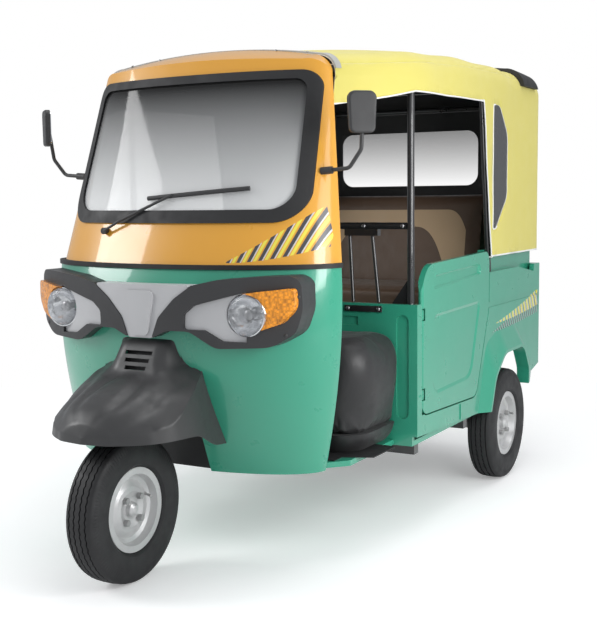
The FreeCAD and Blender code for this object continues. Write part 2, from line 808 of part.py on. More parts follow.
def make_chassis():
    low = FLOOR_Z - FLOOR_T - RAIL_H
    high = FLOOR_Z - FLOOR_T
    rear = TAIL_Y - WALL
    half = RAIL_W / 2
    pieces = []
    for s in (-1, 1):
        pieces.append(box(s * RAIL_X - half, s * RAIL_X + half, y_at(560), rear, low, high))
    inner = RAIL_X - half
    for place in (y_at(570), y_at(BULKHEAD_Y), y_at(SEAT_FRONT) - 90, rear - 80):
        pieces.append(box(-inner, inner, place, place + 50, low + 6, high))
    for s in (-1, 1):
        x0, x1 = sorted((s * (RAIL_X + half), s * INNER))
        pieces.append(box(x0, x1, y_at(BULKHEAD_Y) + 20, y_at(BULKHEAD_Y) + 60, high - 36, high))
        pieces.append(box(x0, x1, y_at(SEAT_FRONT) - 160, y_at(SEAT_FRONT) - 120, high - 36, high))
        pieces.append(box(s * RAIL_X - half, s * RAIL_X + half, rear - 40, rear, high, TAIL_LOW_Z + 60))
    save("chassis_frame", fused(pieces))


def make_floor():
    low = FLOOR_Z - FLOOR_T
    half_plan = [
        (590, y_at(BULKHEAD_Y)),
        (590, y_at(540)),
        (520, y_at(SHELL_REAR) + 1),
        (520, y_at(WELL_REAR)),
    ]
    plan = half_plan + [(-x, y) for x, y in reversed(half_plan)]
    cab = plan_prism(plan, 0, low, FLOOR_Z)
    room = lower_body(-SHELL_T - SEAT_GAP).fuse(box(-600, 600, y_at(SHELL_REAR), y_at(1000), 300, 400))
    back = box(-INNER, INNER, y_at(BULKHEAD_Y), y_at(SEAT_FRONT), low, FLOOR_Z)
    save("floor_pan", fused([cab.common(room), back]))


def make_bulkhead():
    y = y_at(BULKHEAD_Y)
    wall = box(-INNER, INNER, y, y + WALL, FLOOR_Z, BULKHEAD_Z)
    for level in range(4):
        z = 588 + 72 * level
        wall = wall.cut(box(-440, 440, y - 6, y + 5, z, z + 34))
    for s in (-1, 1):
        x = s * 628
        groove = [(x - 26, 450), (x + 26, 450), (x + 26, 850), (x - 26, 850)]
        wall = wall.cut(front_prism(groove, 25, y - 8, y + 7))
    save("bulkhead", wall)


# Side panels and door

DOOR_OUTLINE = ((DOOR_FRONT, 460), (1562, 438), (1716, 805), (1722, 1056), (DOOR_FRONT, 1036))
DOOR_CORNER = (45, 60, 120, 50, 110)
DOOR_SLOT = ((1078, 936), (1086, 992), (1600, 1008), (1622, 962))
DOOR_SLOT_CORNER = (14, 30, 22, 16)
DOOR_FIELD = ((1070, 520), (1500, 528), (1612, 848), (1084, 838))
DOOR_FIELD_CORNER = (60, 90, 30, 40)
WHEEL_ARCH = ((1655, 335), (1724, 497), (1850, 588), (2110, 590), (2190, 470), (2184, 335))
WHEEL_ARCH_CORNER = (0, 120, 120, 90, 60, 0)
FLARE_FOOT = ((1579, 335), (1686, 655), (1850, 700), (2078, 706), (2330, 490), (2384, 335))
FLARE_FOOT_CORNER = (0, 80, 200, 130, 120, 0)
FLARE_PROUD = 38.0
FLARE_LIP = 14.0
PANEL_UNDER = ((880, 384), (1663, 353), (1720, 350), (2150, 390), (2330, 430), (2500, 468), (2500, 100), (880, 100))
PANEL_FRONT_LOW = 383.0
PANEL_REAR_LOW = 350.0
POCKET = ((2130, LEDGE_Z), (2365, 926), (2376, LEDGE_Z))


def quarter_outline():
    """The whole side from the front post to the tail, before the door is cut out of it."""
    return along((
        (BULKHEAD_Y, PANEL_REAR_LOW - 10),
        (TAIL, PANEL_REAR_LOW - 10),
        (TAIL, LEDGE_Z),
        POCKET[2],
        POCKET[1],
        POCKET[0],
        (1640, LEDGE_Z),
        (1640, BULKHEAD_Z),
        (BULKHEAD_Y, BULKHEAD_Z),
    ))


def hinge_spot():
    return BODY_HALF - WALL / 2, y_at(DOOR_FRONT) + WALL / 2


def door_panel():
    """Pressed door with a shallow slot below its top edge and a field below that."""
    door = side_prism(along(DOOR_OUTLINE), DOOR_CORNER, INNER, BODY_HALF)
    slot = pressed(along(DOOR_SLOT), DOOR_SLOT_CORNER, BODY_HALF, 9, 8)
    field = pressed(along(DOOR_FIELD), DOOR_FIELD_CORNER, BODY_HALF, 5, 12)
    return door.cut(slot).cut(field)


def make_door():
    """Hinged at its round front edge, on pins held by knuckles that stand on the post."""
    x, y = hinge_spot()
    low = DOOR_OUTLINE[0][1] - 30
    high = DOOR_OUTLINE[3][1] + 10
    door = door_panel()
    strip = box(INNER - 1, BODY_HALF + 1, y - WALL, y, low, high)
    door = door.cut(strip.cut(cylinder(Vec(x, y, low), Vec(x, y, high), WALL / 2)))
    for z in HINGE_Z:
        pocket = cylinder(Vec(x, y, z - 6), Vec(x, y, z + HINGE_H + 6), WALL / 2 + 7)
        bore = cylinder(Vec(x, y, z - 30), Vec(x, y, z + HINGE_H + 30), PIN_R + RUN_GAP)
        door = door.cut(pocket).cut(bore)
    save("door_left", door)
    save("fixed_half_panel_right", mirrored(door_panel()))


def hinge_knuckles():
    x, y = hinge_spot()
    post = y_at(DOOR_FRONT) - JOINT_GAP - 2
    pieces = []
    for z in HINGE_Z:
        knuckle = cylinder(Vec(x, y, z), Vec(x, y, z + HINGE_H), WALL / 2 - 1)
        pin = cylinder(Vec(x, y, z - 28), Vec(x, y, z + HINGE_H + 28), PIN_R)
        web = box(x - 5, x + 5, post, y, z, z + HINGE_H)
        pieces.append(fused([knuckle, pin, web]))
    return pieces


def wheel_flare():
    foot = side_wire(along(FLARE_FOOT), FLARE_FOOT_CORNER, BODY_HALF - 1)
    lip_points = offset_outline(along(WHEEL_ARCH), FLARE_LIP)
    lip = side_wire(lip_points, WHEEL_ARCH_CORNER, BODY_HALF + FLARE_PROUD)
    return Part.makeLoft([foot, lip], True, True)


def side_ledges():
    """Set-back strip under the canopy's hem and the ledge that joins it to the panel."""
    front = 1728.0
    rear = RISER_REAR
    low = POCKET[1][1]
    riser = box(STRIP_IN, STRIP_IN + WALL, y_at(front), y_at(rear), low - 12, STRIP_TOP_Z)
    ledge = box(STRIP_IN, INNER + 1, y_at(front), y_at(POCKET[0][0]), LEDGE_Z - 12, LEDGE_Z)
    floor = box(STRIP_IN, INNER + 1, y_at(POCKET[0][0]) - 12, y_at(rear), low - 12, low)
    step = box(STRIP_IN, INNER + 1, y_at(POCKET[0][0]) - 12, y_at(POCKET[0][0]), low - 12, LEDGE_Z)
    return [riser, ledge, floor, step]


def side_panel(door_gap):
    plate = side_prism(quarter_outline(), 0, INNER, BODY_HALF)
    body = fused([plate, wheel_flare()] + side_ledges())
    body = body.cut(side_prism(along(PANEL_UNDER), 0, INNER - 1, BODY_HALF + FLARE_PROUD + 1))
    body = body.cut(side_prism(along(WHEEL_ARCH), WHEEL_ARCH_CORNER, INNER - 1, BODY_HALF + FLARE_PROUD + 1))
    radii = [r + door_gap for r in DOOR_CORNER]
    body = body.cut(side_prism(offset_outline(along(DOOR_OUTLINE), door_gap), radii, INNER - 1, BODY_HALF + 1))
    x, y = hinge_spot()
    foot = DOOR_OUTLINE[0][1]
    relief = cylinder(Vec(x, y, foot), Vec(x, y, foot + DOOR_CORNER[0] + door_gap), WALL / 2 + HINGE_ROOM)
    body = body.cut(relief) if door_gap > SEAT_GAP else body
    swage = ((1700, 805), (TAIL - 40, 805), (TAIL - 40, 830), (1700, 830))
    body = body.cut(side_prism(along(swage), 0, BODY_HALF - 4, BODY_HALF + 1))
    rib = side_prism(along(((1368, 368), (1377, 368), (1377, 434), (1368, 434))), 0, BODY_HALF - 1, BODY_HALF + 4)
    return [biggest(body), rib]


def make_side_panels():
    save("side_panel_left", fused(side_panel(JOINT_GAP) + hinge_knuckles()))
    save("side_panel_right", mirrored(fused(side_panel(SEAT_GAP))))


# Tail


def make_tail():
    """Rear wall with its lid opening, the ledge above it and the strip inside the canopy's hem."""
    y0 = TAIL_Y - WALL
    wall = box(-INNER, INNER, y0, TAIL_Y, TAIL_LOW_Z, LEDGE_Z)
    riser_rear = y_at(RISER_REAR)
    ledge = box(-INNER, INNER, riser_rear - WALL, TAIL_Y, LEDGE_Z - 12, LEDGE_Z)
    riser = box(-STRIP_IN, STRIP_IN, riser_rear - WALL, riser_rear, LEDGE_Z - 12, STRIP_TOP_Z)
    side_room = side_prism(along(((1700, 800), (RISER_REAR, 800), (RISER_REAR, 1100), (1700, 1100))),
                           0, STRIP_IN, INNER + 5)
    body = fused([wall, ledge, riser]).cut(side_room).cut(mirrored(side_room))
    gap = JOINT_GAP
    hole = [
        (-LID_HALF - gap, LID_LOW_Z - gap),
        (LID_HALF + gap, LID_LOW_Z - gap),
        (LID_HALF + gap, LID_TOP_Z + gap),
        (-LID_HALF - gap, LID_TOP_Z + gap),
    ]
    body = body.cut(front_prism(hole, (51, 51, 0, 0), y0 - 1, TAIL_Y + 1))
    for s in (-1, 1):
        spot = Vec(s * PLATE_HOLE_X, y0 - 1, PLATE_HOLE_Z)
        body = body.cut(cylinder(spot, spot + Vec(0, WALL + 2, 0), PLATE_HOLE_R))
    axis_y = TAIL_Y - WALL / 2
    axis_z = LID_TOP_Z - WALL / 2
    pins = []
    for s in (-1, 1):
        start = Vec(s * (LID_HALF + gap + 6), axis_y, axis_z)
        pins.append(cylinder(start, Vec(s * (LID_HALF - 22), axis_y, axis_z), PIN_R))
    save("tail_panel", fused([body] + pins))


def make_lid():
    """Vented engine lid, hung from pins at its round top edge."""
    y0 = TAIL_Y - WALL
    axis_y = TAIL_Y - WALL / 2
    axis_z = LID_TOP_Z - WALL / 2
    outline = [(-LID_HALF, LID_LOW_Z), (LID_HALF, LID_LOW_Z), (LID_HALF, LID_TOP_Z), (-LID_HALF, LID_TOP_Z)]
    lid = front_prism(outline, (45, 45, 0, 0), y0, TAIL_Y)
    strip = box(-LID_HALF - 1, LID_HALF + 1, y0 - 1, TAIL_Y + 1, axis_z, LID_TOP_Z + 1)
    ends = [Vec(s * (LID_HALF + 1), axis_y, axis_z) for s in (-1, 1)]
    lid = lid.cut(strip.cut(cylinder(ends[0], ends[1], WALL / 2)))
    for s, end in zip((-1, 1), ends):
        lid = lid.cut(cylinder(end, end - Vec(s * 28, 0, 0), PIN_R + RUN_GAP))
    for level in range(5):
        z = 620 + 40 * level
        lid = lid.cut(box(-220, 220, y0 - 2, TAIL_Y + 2, z, z + 12))
    save("engine_lid", lid)


def make_tail_lamps():
    lamp = rounded_box(596, 682, TAIL_Y, TAIL_Y + LAMP_PROUD, 479, 559, 8)
    lamp = lamp.cut(box(590, 690, TAIL_Y - 1, TAIL_Y + 4, 470, TAIL_LOW_Z))
    upper = rounded_box(652, 684, TAIL_Y, TAIL_Y + 20, 886, 952, 7)
    save("tail_lamps", Part.makeCompound([lamp, mirrored(lamp), upper, mirrored(upper)]))


def make_wheel_liners():
    """Inner arch over each rear wheel, open behind, and a short flap at the rear lip."""
    outer = side_prism(offset_outline(along(WHEEL_ARCH), 5), [r + 5 if r else 0 for r in WHEEL_ARCH_CORNER], 540, INNER)
    inner = side_prism(along(WHEEL_ARCH), WHEEL_ARCH_CORNER, 539, INNER + 1)
    keep = box(530, INNER - SEAT_GAP, y_at(1600), y_at(2100), 352, 700)
    liner = outer.cut(inner).common(keep)
    save("wheel_liners", both_sides(liner))


# Seats


def make_seats():
    y = y_at(SEAT_FRONT)
    back_y = y_at(BACKREST_FRONT)
    base_top = SEAT_TOP_Z - SEAT_CUSHION_T
    back_low = SEAT_TOP_Z - 90
    front = box(-INNER, INNER, y, y + WALL, FLOOR_Z - FLOOR_T, base_top)
    top = box(-INNER + 30, INNER - 30, y + WALL, back_y + 140, base_top - WALL, base_top)
    lean = 80.0 / (BACKREST_TOP_Z - back_low)
    behind = back_y + 110 + 1.02 * SEAT_GAP
    support_top = BACKREST_TOP_Z - 30
    support = [
        (behind, base_top - 1),
        (behind + 28, base_top - 1),
        (behind + 102, support_top),
        (behind + lean * (support_top - back_low), support_top),
        (behind, back_low),
    ]
    save("passenger_seat_base", fused([front, top, side_prism(support, 0, -480, 480)]))
    cushion = rounded_box(-600, 600, y - 8, back_y - 4, base_top + SEAT_GAP, SEAT_TOP_Z, 26)
    save("passenger_cushion", cushion)
    back = [
        (back_y, back_low),
        (back_y + 110, back_low),
        (back_y + 190, BACKREST_TOP_Z),
        (back_y + 90, BACKREST_TOP_Z),
    ]
    save("passenger_backrest", side_prism(back, (30, 10, 30, 40), -500, 500))


def seat_ring(z, half, front, rear):
    points = [
        Vec(-half, y_at(rear), z),
        Vec(-half, y_at(front), z),
        Vec(half, y_at(front), z),
        Vec(half, y_at(rear), z),
    ]
    return rounded_wire(points, (30, 110, 110, 30))


def make_driver_seat():
    """Black seat box and bench that fill the width in front of the bulkhead."""
    rear = BULKHEAD_Y - SEAT_GAP
    room = box(-700, 700, y_at(400), y_at(rear), FLOOR_Z, DRIVER_TOP_Z)
    split = 440.0
    levels = [(FLOOR_Z, 560, 600), (400, 590, 582), (split, 604, 574)]
    base = Part.makeLoft([seat_ring(z, half, front, rear) for z, half, front in levels], True, False)
    save("driver_seat_base", base.common(room))
    levels = [(split + SEAT_GAP, 604, 574), (620, 634, 560), (700, 630, 556), (758, 606, 572), (DRIVER_TOP_Z, 540, 620)]
    cushion = Part.makeLoft([seat_ring(z, half, front, rear) for z, half, front in levels], True, False)
    save("driver_cushion", cushion.common(room))


# Canopy and its frame

OPENING = ((300, 900), (1770, 900), (1643, 1698), (930, 1687), (583, 1622), (300, 1602))
QUARTER_WINDOW = ((1762, 1150), (1800, 1150), (1954, 1290), (1956, 1570), (1850, 1692), (1762, 1692))
QUARTER_CORNER = (12, 40, 70, 100, 60, 12)
REAR_WINDOW = ((-380, 1349), (380, 1349), (380, 1623), (-380, 1623))
REAR_WINDOW_CORNER = 60.0
ROOF_SEAM = ((440, 1752), (1100, 1808), (1700, 1836), (2240, 1832), (2500, 1808))
ROOF_REAR_R = 90.0
STRIP_W = 17.0
STRIP_LOW_Z = 1752.0
BAND_PROUD = 16.0
BAND_SPAN = (2140.0, 2362.0)
BAND_LOW_Z = 1800.0
CANOPY_CORNER_R = 24.0


def roof_loft(stations, inset):
    rings = []
    for behind in stations:
        y = y_at(behind)
        lean = PILLAR_LEAN_X * roof_taper(y) ** 2
        rings.append(roof_ring(y, roof_half(y) - inset, roof_crown(y) - inset, 900.0, lean))
    return Part.makeLoft(rings, True, False)


def canopy_body(inset):
    """The canopy's outside, moved in by inset: a roof loft trimmed by its rear profile."""
    body = roof_loft((ROOF_FULL_Y, 1400, 1800, 2200, CANOPY_REAR + 60), inset)
    body = body.fuse(roof_loft((560, 640, 720, 800, 870, POLE_Y, 1000, ROOF_FULL_Y), inset))
    rear = y_at(CANOPY_REAR) - inset
    top = roof_crown(rear) - inset + 3
    profile = [(y_at(440), 890), (rear, 890), (rear, top), (y_at(1600), ROOF_TOP_Z + 60), (y_at(440), ROOF_TOP_Z + 60)]
    side = side_prism(profile, (0, 0, ROOF_REAR_R, 0, 0), -900, 900)
    half = BODY_HALF - inset + 0.01
    plan = [(-half, rear), (half, rear), (half + 60, y_at(1900)), (900, y_at(440)), (-900, y_at(440)), (-half - 60, y_at(1900))]
    corners = plan_prism(plan, (CANOPY_CORNER_R, CANOPY_CORNER_R, 0, 0, 0, 0), 880, 2200)
    return body.common(side).common(corners)


def behind_cab(shift):
    """Everything behind the leaning rear edge of the cab."""
    low, high = 800.0, 2100.0
    points = [
        (y_at(cab_rear(low)) + shift, low),
        (y_at(cab_rear(high)) + shift, high),
        (TAIL_Y + 300, high),
        (TAIL_Y + 300, low),
    ]
    return side_prism(points, 0, -900, 900)


def above_seam(shift):
    """Everything above the seam that joins the roof's cloth to the sides and back."""
    points = [(y, z + shift) for y, z in ROOF_SEAM] + [(ROOF_SEAM[-1][0], 2300), (ROOF_SEAM[0][0], 2300)]
    return side_prism(along(points), 0, -900, 900)


def make_canopy():
    outer = canopy_body(0)
    below = box(-900, 900, y_at(0), TAIL_Y + 300, 700, CANOPY_LOW_Z)
    opening = side_prism(along(OPENING), 0, -900, 900)
    shell = outer.cut(canopy_body(CANOPY_T)).common(behind_cab(SEAT_GAP)).cut(below).cut(opening)
    window = side_prism(along(QUARTER_WINDOW), QUARTER_CORNER, 500, 900)
    rear_hole = front_prism(REAR_WINDOW, REAR_WINDOW_CORNER, y_at(2250), y_at(2500))
    shell = shell.cut(window).cut(mirrored(window)).cut(rear_hole)
    save("canopy_roof", biggest(shell.common(above_seam(SEAT_GAP))))
    save("canopy", biggest(shell.cut(above_seam(0))))
    film = canopy_body(3).cut(canopy_body(5))
    pane = side_prism(offset_outline(along(QUARTER_WINDOW), -SEAT_GAP), QUARTER_CORNER, 500, 900)
    rear_pane = front_prism(offset_outline(REAR_WINDOW, -SEAT_GAP), REAR_WINDOW_CORNER, y_at(2250), y_at(2500))
    panes = [film.common(pane), film.common(mirrored(pane)), film.common(rear_pane)]
    save("canopy_windows", Part.makeCompound(panes))


def make_roof_trim():
    """Riveted strip over the cab's joint with the canopy, and the hoop over the roof's rear."""
    strip = canopy_body(-4).cut(canopy_body(-SEAT_GAP))
    strip = strip.common(behind_cab(SEAT_GAP)).cut(behind_cab(STRIP_W)).cut(box(-900, 900, y_at(0), TAIL_Y, 700, STRIP_LOW_Z))
    save("canopy_front_strip", strip)
    band = canopy_body(-BAND_PROUD).cut(canopy_body(-SEAT_GAP))
    save("roof_band", band.common(box(-900, 900, y_at(BAND_SPAN[0]), y_at(BAND_SPAN[1]), BAND_LOW_Z, 2100)))


def roof_bow(behind, low):
    """Flat bow that follows the inside of the canopy."""
    half_w, depth = 12.0, 20.0
    gap = CANOPY_T + SEAT_GAP
    y0 = y_at(behind) - half_w
    y1 = y_at(behind) + half_w
    half = min(roof_half(y0), roof_half(y1)) - gap
    crown = min(roof_crown(y0), roof_crown(y1)) - gap
    outer = Part.Face(roof_ring(y0, half, crown, 900.0))
    inner = Part.Face(roof_ring(y0, half - depth, crown - depth, 890.0))
    bow = outer.cut(inner).extrude(Vec(0, 2 * half_w, 0))
    return bow.common(box(-900, 900, y0 - 1, y1 + 1, low, 2100))


def make_frame():
    """Front poles, side rails, roof bows, rear crossbar and posts, all one welded frame."""
    rail_z = 1722.0
    pieces = []
    for s in (-1, 1):
        pole = Vec(s * POLE_X, y_at(POLE_Y), BULKHEAD_Z)
        pieces.append(cylinder(pole, Vec(pole.x, pole.y, rail_z + 30), POLE_R))
        rail = Vec(s * POLE_X, y_at(POLE_Y), rail_z)
        pieces.append(cylinder(rail, Vec(rail.x, y_at(FRAME_REAR), rail_z), TUBE_R))
        post = Vec(s * REAR_POST_X, y_at(RISER_REAR) - 1.5 * TUBE_R, CANOPY_LOW_Z)
        pieces.append(cylinder(post, Vec(post.x, y_at(FRAME_REAR), rail_z), TUBE_R))
        foot = [(s * POLE_X, BULKHEAD_Z), (s * (POLE_X - 78), BULKHEAD_Z), (s * POLE_X, BULKHEAD_Z + 110)]
        pieces.append(front_prism(foot, 0, y_at(POLE_Y) - 2, y_at(POLE_Y) + 2))
    wide = BODY_HALF - CANOPY_T - SEAT_GAP
    pieces.append(cylinder(Vec(-wide, y_at(FRAME_REAR), rail_z), Vec(wide, y_at(FRAME_REAR), rail_z), CROSSBAR_R))
    pieces.append(roof_bow(POLE_Y, rail_z))
    pieces.append(roof_bow(1440, rail_z - 10))
    pieces.append(roof_bow(1930, rail_z - 10))
    below = box(-900, 900, y_at(2300), TAIL_Y, 900, STRIP_TOP_Z + SEAT_GAP)
    frame = fused(pieces).cut(below)
    save("canopy_frame", frame)
    leaning = Vec(0, y_at(1662) - y_at(1772), 1745 - LEDGE_Z)
    x = BODY_HALF - CANOPY_T - SEAT_GAP - TUBE_R
    foot = Vec(x, y_at(1772), LEDGE_Z + SEAT_GAP)
    post = cylinder(foot + Vec(0, 0, 1), foot + leaning, TUBE_R).cut(box(600, 700, foot.y - 60, foot.y + 60, 900, foot.z))
    save("quarter_posts", both_sides(post.cut(frame)))


RACK_BRACKET_Z = (1150.0, 1201.0)


def make_partition_rack():
    """Crossbar between the front poles with its bracket and stays."""
    y = y_at(POLE_Y)
    reach = POLE_X - POLE_R - SEAT_GAP
    low, high = RACK_BRACKET_Z
    pieces = [cylinder(Vec(-reach, y, high - 13), Vec(reach, y, high - 13), 13)]
    pieces.append(box(374, 516, y - 6, y + 22, low, high))
    for top_x, low_x in ((389, 410), (486, 520)):
        pieces.append(cylinder(Vec(top_x, y + 10, low + 10), Vec(low_x, y - 4, BULKHEAD_Z + 3), 7))
    body = fused(pieces)
    save("partition_rack", body.cut(box(-700, 700, y - 100, y + 100, 800, BULKHEAD_Z)))


# Engine, exhaust and rear suspension


def make_engine():
    y = y_at(2010)
    high = FLOOR_Z - FLOOR_T
    mount = RAIL_X - RAIL_W / 2 - SEAT_GAP
    block = rounded_box(-210, 210, y - 190, y + 200, 330, 640, 30)
    lugs = box(-mount, mount, y - 60, y + 60, high - 30, high)
    save("engine_block", fused([block, lugs]))
    muffler = turned([(0, 0), (0, 30), (14, 52), (326, 52), (340, 30), (340, 0)], Vec(-170, y + 300, 400), Vec(1, 0, 0))
    inlet = bent_tube([(90, y + 200 + SEAT_GAP, 420), (90, y + 300, 420)], 17, 10)
    outlet = bent_tube([(-120, y + 300, 400), (-120, y + 400, 380), (-120, y + 440, 372)], 15, 30)
    save("exhaust", fused([muffler, inlet, outlet]))


def make_rear_suspension():
    """Trailing arms on the frame rails, each with its brake plate and stub axle."""
    arms = []
    for s in (-1, 1):
        hub = Vec(s * TRACK / 2, REAR_Y, TYRE_R)
        pivot = Vec(s * (RAIL_X + RAIL_W / 2 + SEAT_GAP), REAR_Y - 350, FLOOR_Z - FLOOR_T - 30)
        elbow = pivot + Vec(s * 190, 0, 0)
        inner = Vec(elbow.x, REAR_Y, TYRE_R)
        pieces = [cylinder(pivot, elbow, 24)]
        pieces.append(cylinder(elbow - Vec(s * 12, 0, 0), inner - Vec(s * 12, 0, 0), 26))
        pieces.append(cylinder(inner - Vec(s * 36, 0, 0), inner + Vec(s * 22, 0, 0), 40))
        pieces.append(cylinder(hub - Vec(s * 66, 0, 0), hub - Vec(s * 56, 0, 0), DRUM_R))
        pieces.append(cylinder(inner, hub + Vec(s * 20, 0, 0), AXLE_R))
        pieces.append(cylinder(inner, hub - Vec(s * 56, 0, 0), AXLE_R + 8))
        arms.append(fused(pieces))
    save("rear_suspension", Part.makeCompound(arms))


# Mirrors and wiper

MIRROR_TURN = 42.0
MIRROR_X = 686.0
MIRROR_OUTLINE = ((-44, 1512), (44, 1512), (51, 1652), (-51, 1652))
MIRROR_CORNER = (20, 20, 26, 26)


def make_mirrors():
    """Arms on the pillars and heads turned in towards the driver."""
    path = [(520, y_at(474), 1390), (625, y_at(478), 1398), (675, y_at(470), 1460), (MIRROR_X, y_at(458), 1577)]
    arm = bent_tube(path, 7, 30)
    foot = cylinder(Vec(520, y_at(474), 1390), Vec(562, y_at(475.4), 1392.8), 13)
    outline = [(MIRROR_X + x, z) for x, z in MIRROR_OUTLINE]
    head = front_prism(outline, MIRROR_CORNER, y_at(436), y_at(458))
    rim_edges = [e for e in head.Edges if abs(e.CenterOfMass.y - y_at(436)) < 0.1]
    head = head.makeFillet(8, rim_edges)
    glass = front_prism(offset_outline(outline, -7), [r - 7 for r in MIRROR_CORNER], y_at(458) + SEAT_GAP, y_at(458) + 3)
    centre = Vec(MIRROR_X, y_at(452), 1577)
    for piece in (head, glass):
        piece.rotate(centre, Vec(0, 0, 1), MIRROR_TURN)
    arm = arm.fuse(foot).cut(cab_solid(SEAT_GAP, 1100))
    body = biggest(fused([arm, head]).cut(glass))
    save("mirrors", both_sides(body))
    save("mirror_glass", both_sides(glass))


WIPER_PIVOT = (-257.0, 1188.0)
WIPER_TIP = (32.0, 1315.0)
BLADE = ((-75.0, 1303.0), (318.0, 1334.0))


def make_wiper():
    """Single arm pivoted below the screen, with its blade along the glass."""
    pivot = screen_point(WIPER_PIVOT[0], WIPER_PIVOT[1], 0)
    way = Vec(pivot - screen_point(WIPER_PIVOT[0], WIPER_PIVOT[1], -10)).normalize()
    cap = cylinder(pivot - way * 4, pivot + way * 22, 12).cut(cab_solid(SEAT_GAP, 1100))
    start = screen_point(WIPER_PIVOT[0], WIPER_PIVOT[1], 18)
    knee = screen_point(WIPER_PIVOT[0] + 69, WIPER_PIVOT[1] + 33, 24)
    tip = screen_point(WIPER_TIP[0], WIPER_TIP[1], 18)
    arm = bent_tube([tuple(start), tuple(knee), tuple(tip)], 5, 60)
    (x0, z0), (x1, z1) = BLADE
    count = 5
    spots = []
    for i in range(count):
        share = i / (count - 1)
        spots.append(screen_point(x0 + (x1 - x0) * share, z0 + (z1 - z0) * share, 10))
    blade = bent_tube([tuple(p) for p in spots], 8, 200)
    save("wiper", fused([biggest(cap), arm, blade]).cut(cab_solid(SEAT_GAP, 1100)))


def main():
    os.makedirs("parts", exist_ok=True)
    make_cab()
    make_lower_shell()
    make_wheel_well()
    make_front_lamps()
    make_mudguard()
    make_wheels()
    make_front_fork()
    make_steering_head()
    make_dashboard()
    make_handlebar()
    make_chassis()
    make_floor()
    make_bulkhead()
    make_door()
    make_side_panels()
    make_tail()
    make_lid()
    make_tail_lamps()
    make_wheel_liners()
    make_seats()
    make_driver_seat()
    make_canopy()
    make_roof_trim()
    make_frame()
    make_partition_rack()
    make_engine()
    make_rear_suspension()
    make_mirrors()
    make_wiper()


main()
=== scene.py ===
import bisect
import math

import bmesh
import bpy
from mathutils import Matrix, Vector
from mathutils.bvhtree import BVHTree


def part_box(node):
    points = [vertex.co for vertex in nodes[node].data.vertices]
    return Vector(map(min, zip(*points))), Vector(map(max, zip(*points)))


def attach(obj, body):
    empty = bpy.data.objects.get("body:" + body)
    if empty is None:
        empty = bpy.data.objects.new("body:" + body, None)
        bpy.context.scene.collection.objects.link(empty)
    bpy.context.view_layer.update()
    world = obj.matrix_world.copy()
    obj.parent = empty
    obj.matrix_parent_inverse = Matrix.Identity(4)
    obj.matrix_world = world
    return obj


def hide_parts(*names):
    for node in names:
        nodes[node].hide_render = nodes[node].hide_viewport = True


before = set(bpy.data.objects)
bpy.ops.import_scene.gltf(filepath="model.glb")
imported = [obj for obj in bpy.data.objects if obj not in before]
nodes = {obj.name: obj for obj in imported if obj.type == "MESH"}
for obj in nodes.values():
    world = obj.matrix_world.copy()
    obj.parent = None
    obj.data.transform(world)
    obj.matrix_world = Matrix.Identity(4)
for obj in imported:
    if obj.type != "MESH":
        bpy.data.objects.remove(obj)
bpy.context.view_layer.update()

# Places taken from the model, in metres; "behind" is measured from the front axle
FRONT_AXLE_Y = -1.121
REAR_AXLE_Y = 0.799
REAR_WHEEL_X = 0.661
BODY_SIDE = 0.69


def y_at(behind):
    """The model's Y of a place measured back from the front axle."""
    return FRONT_AXLE_Y + behind


# Materials


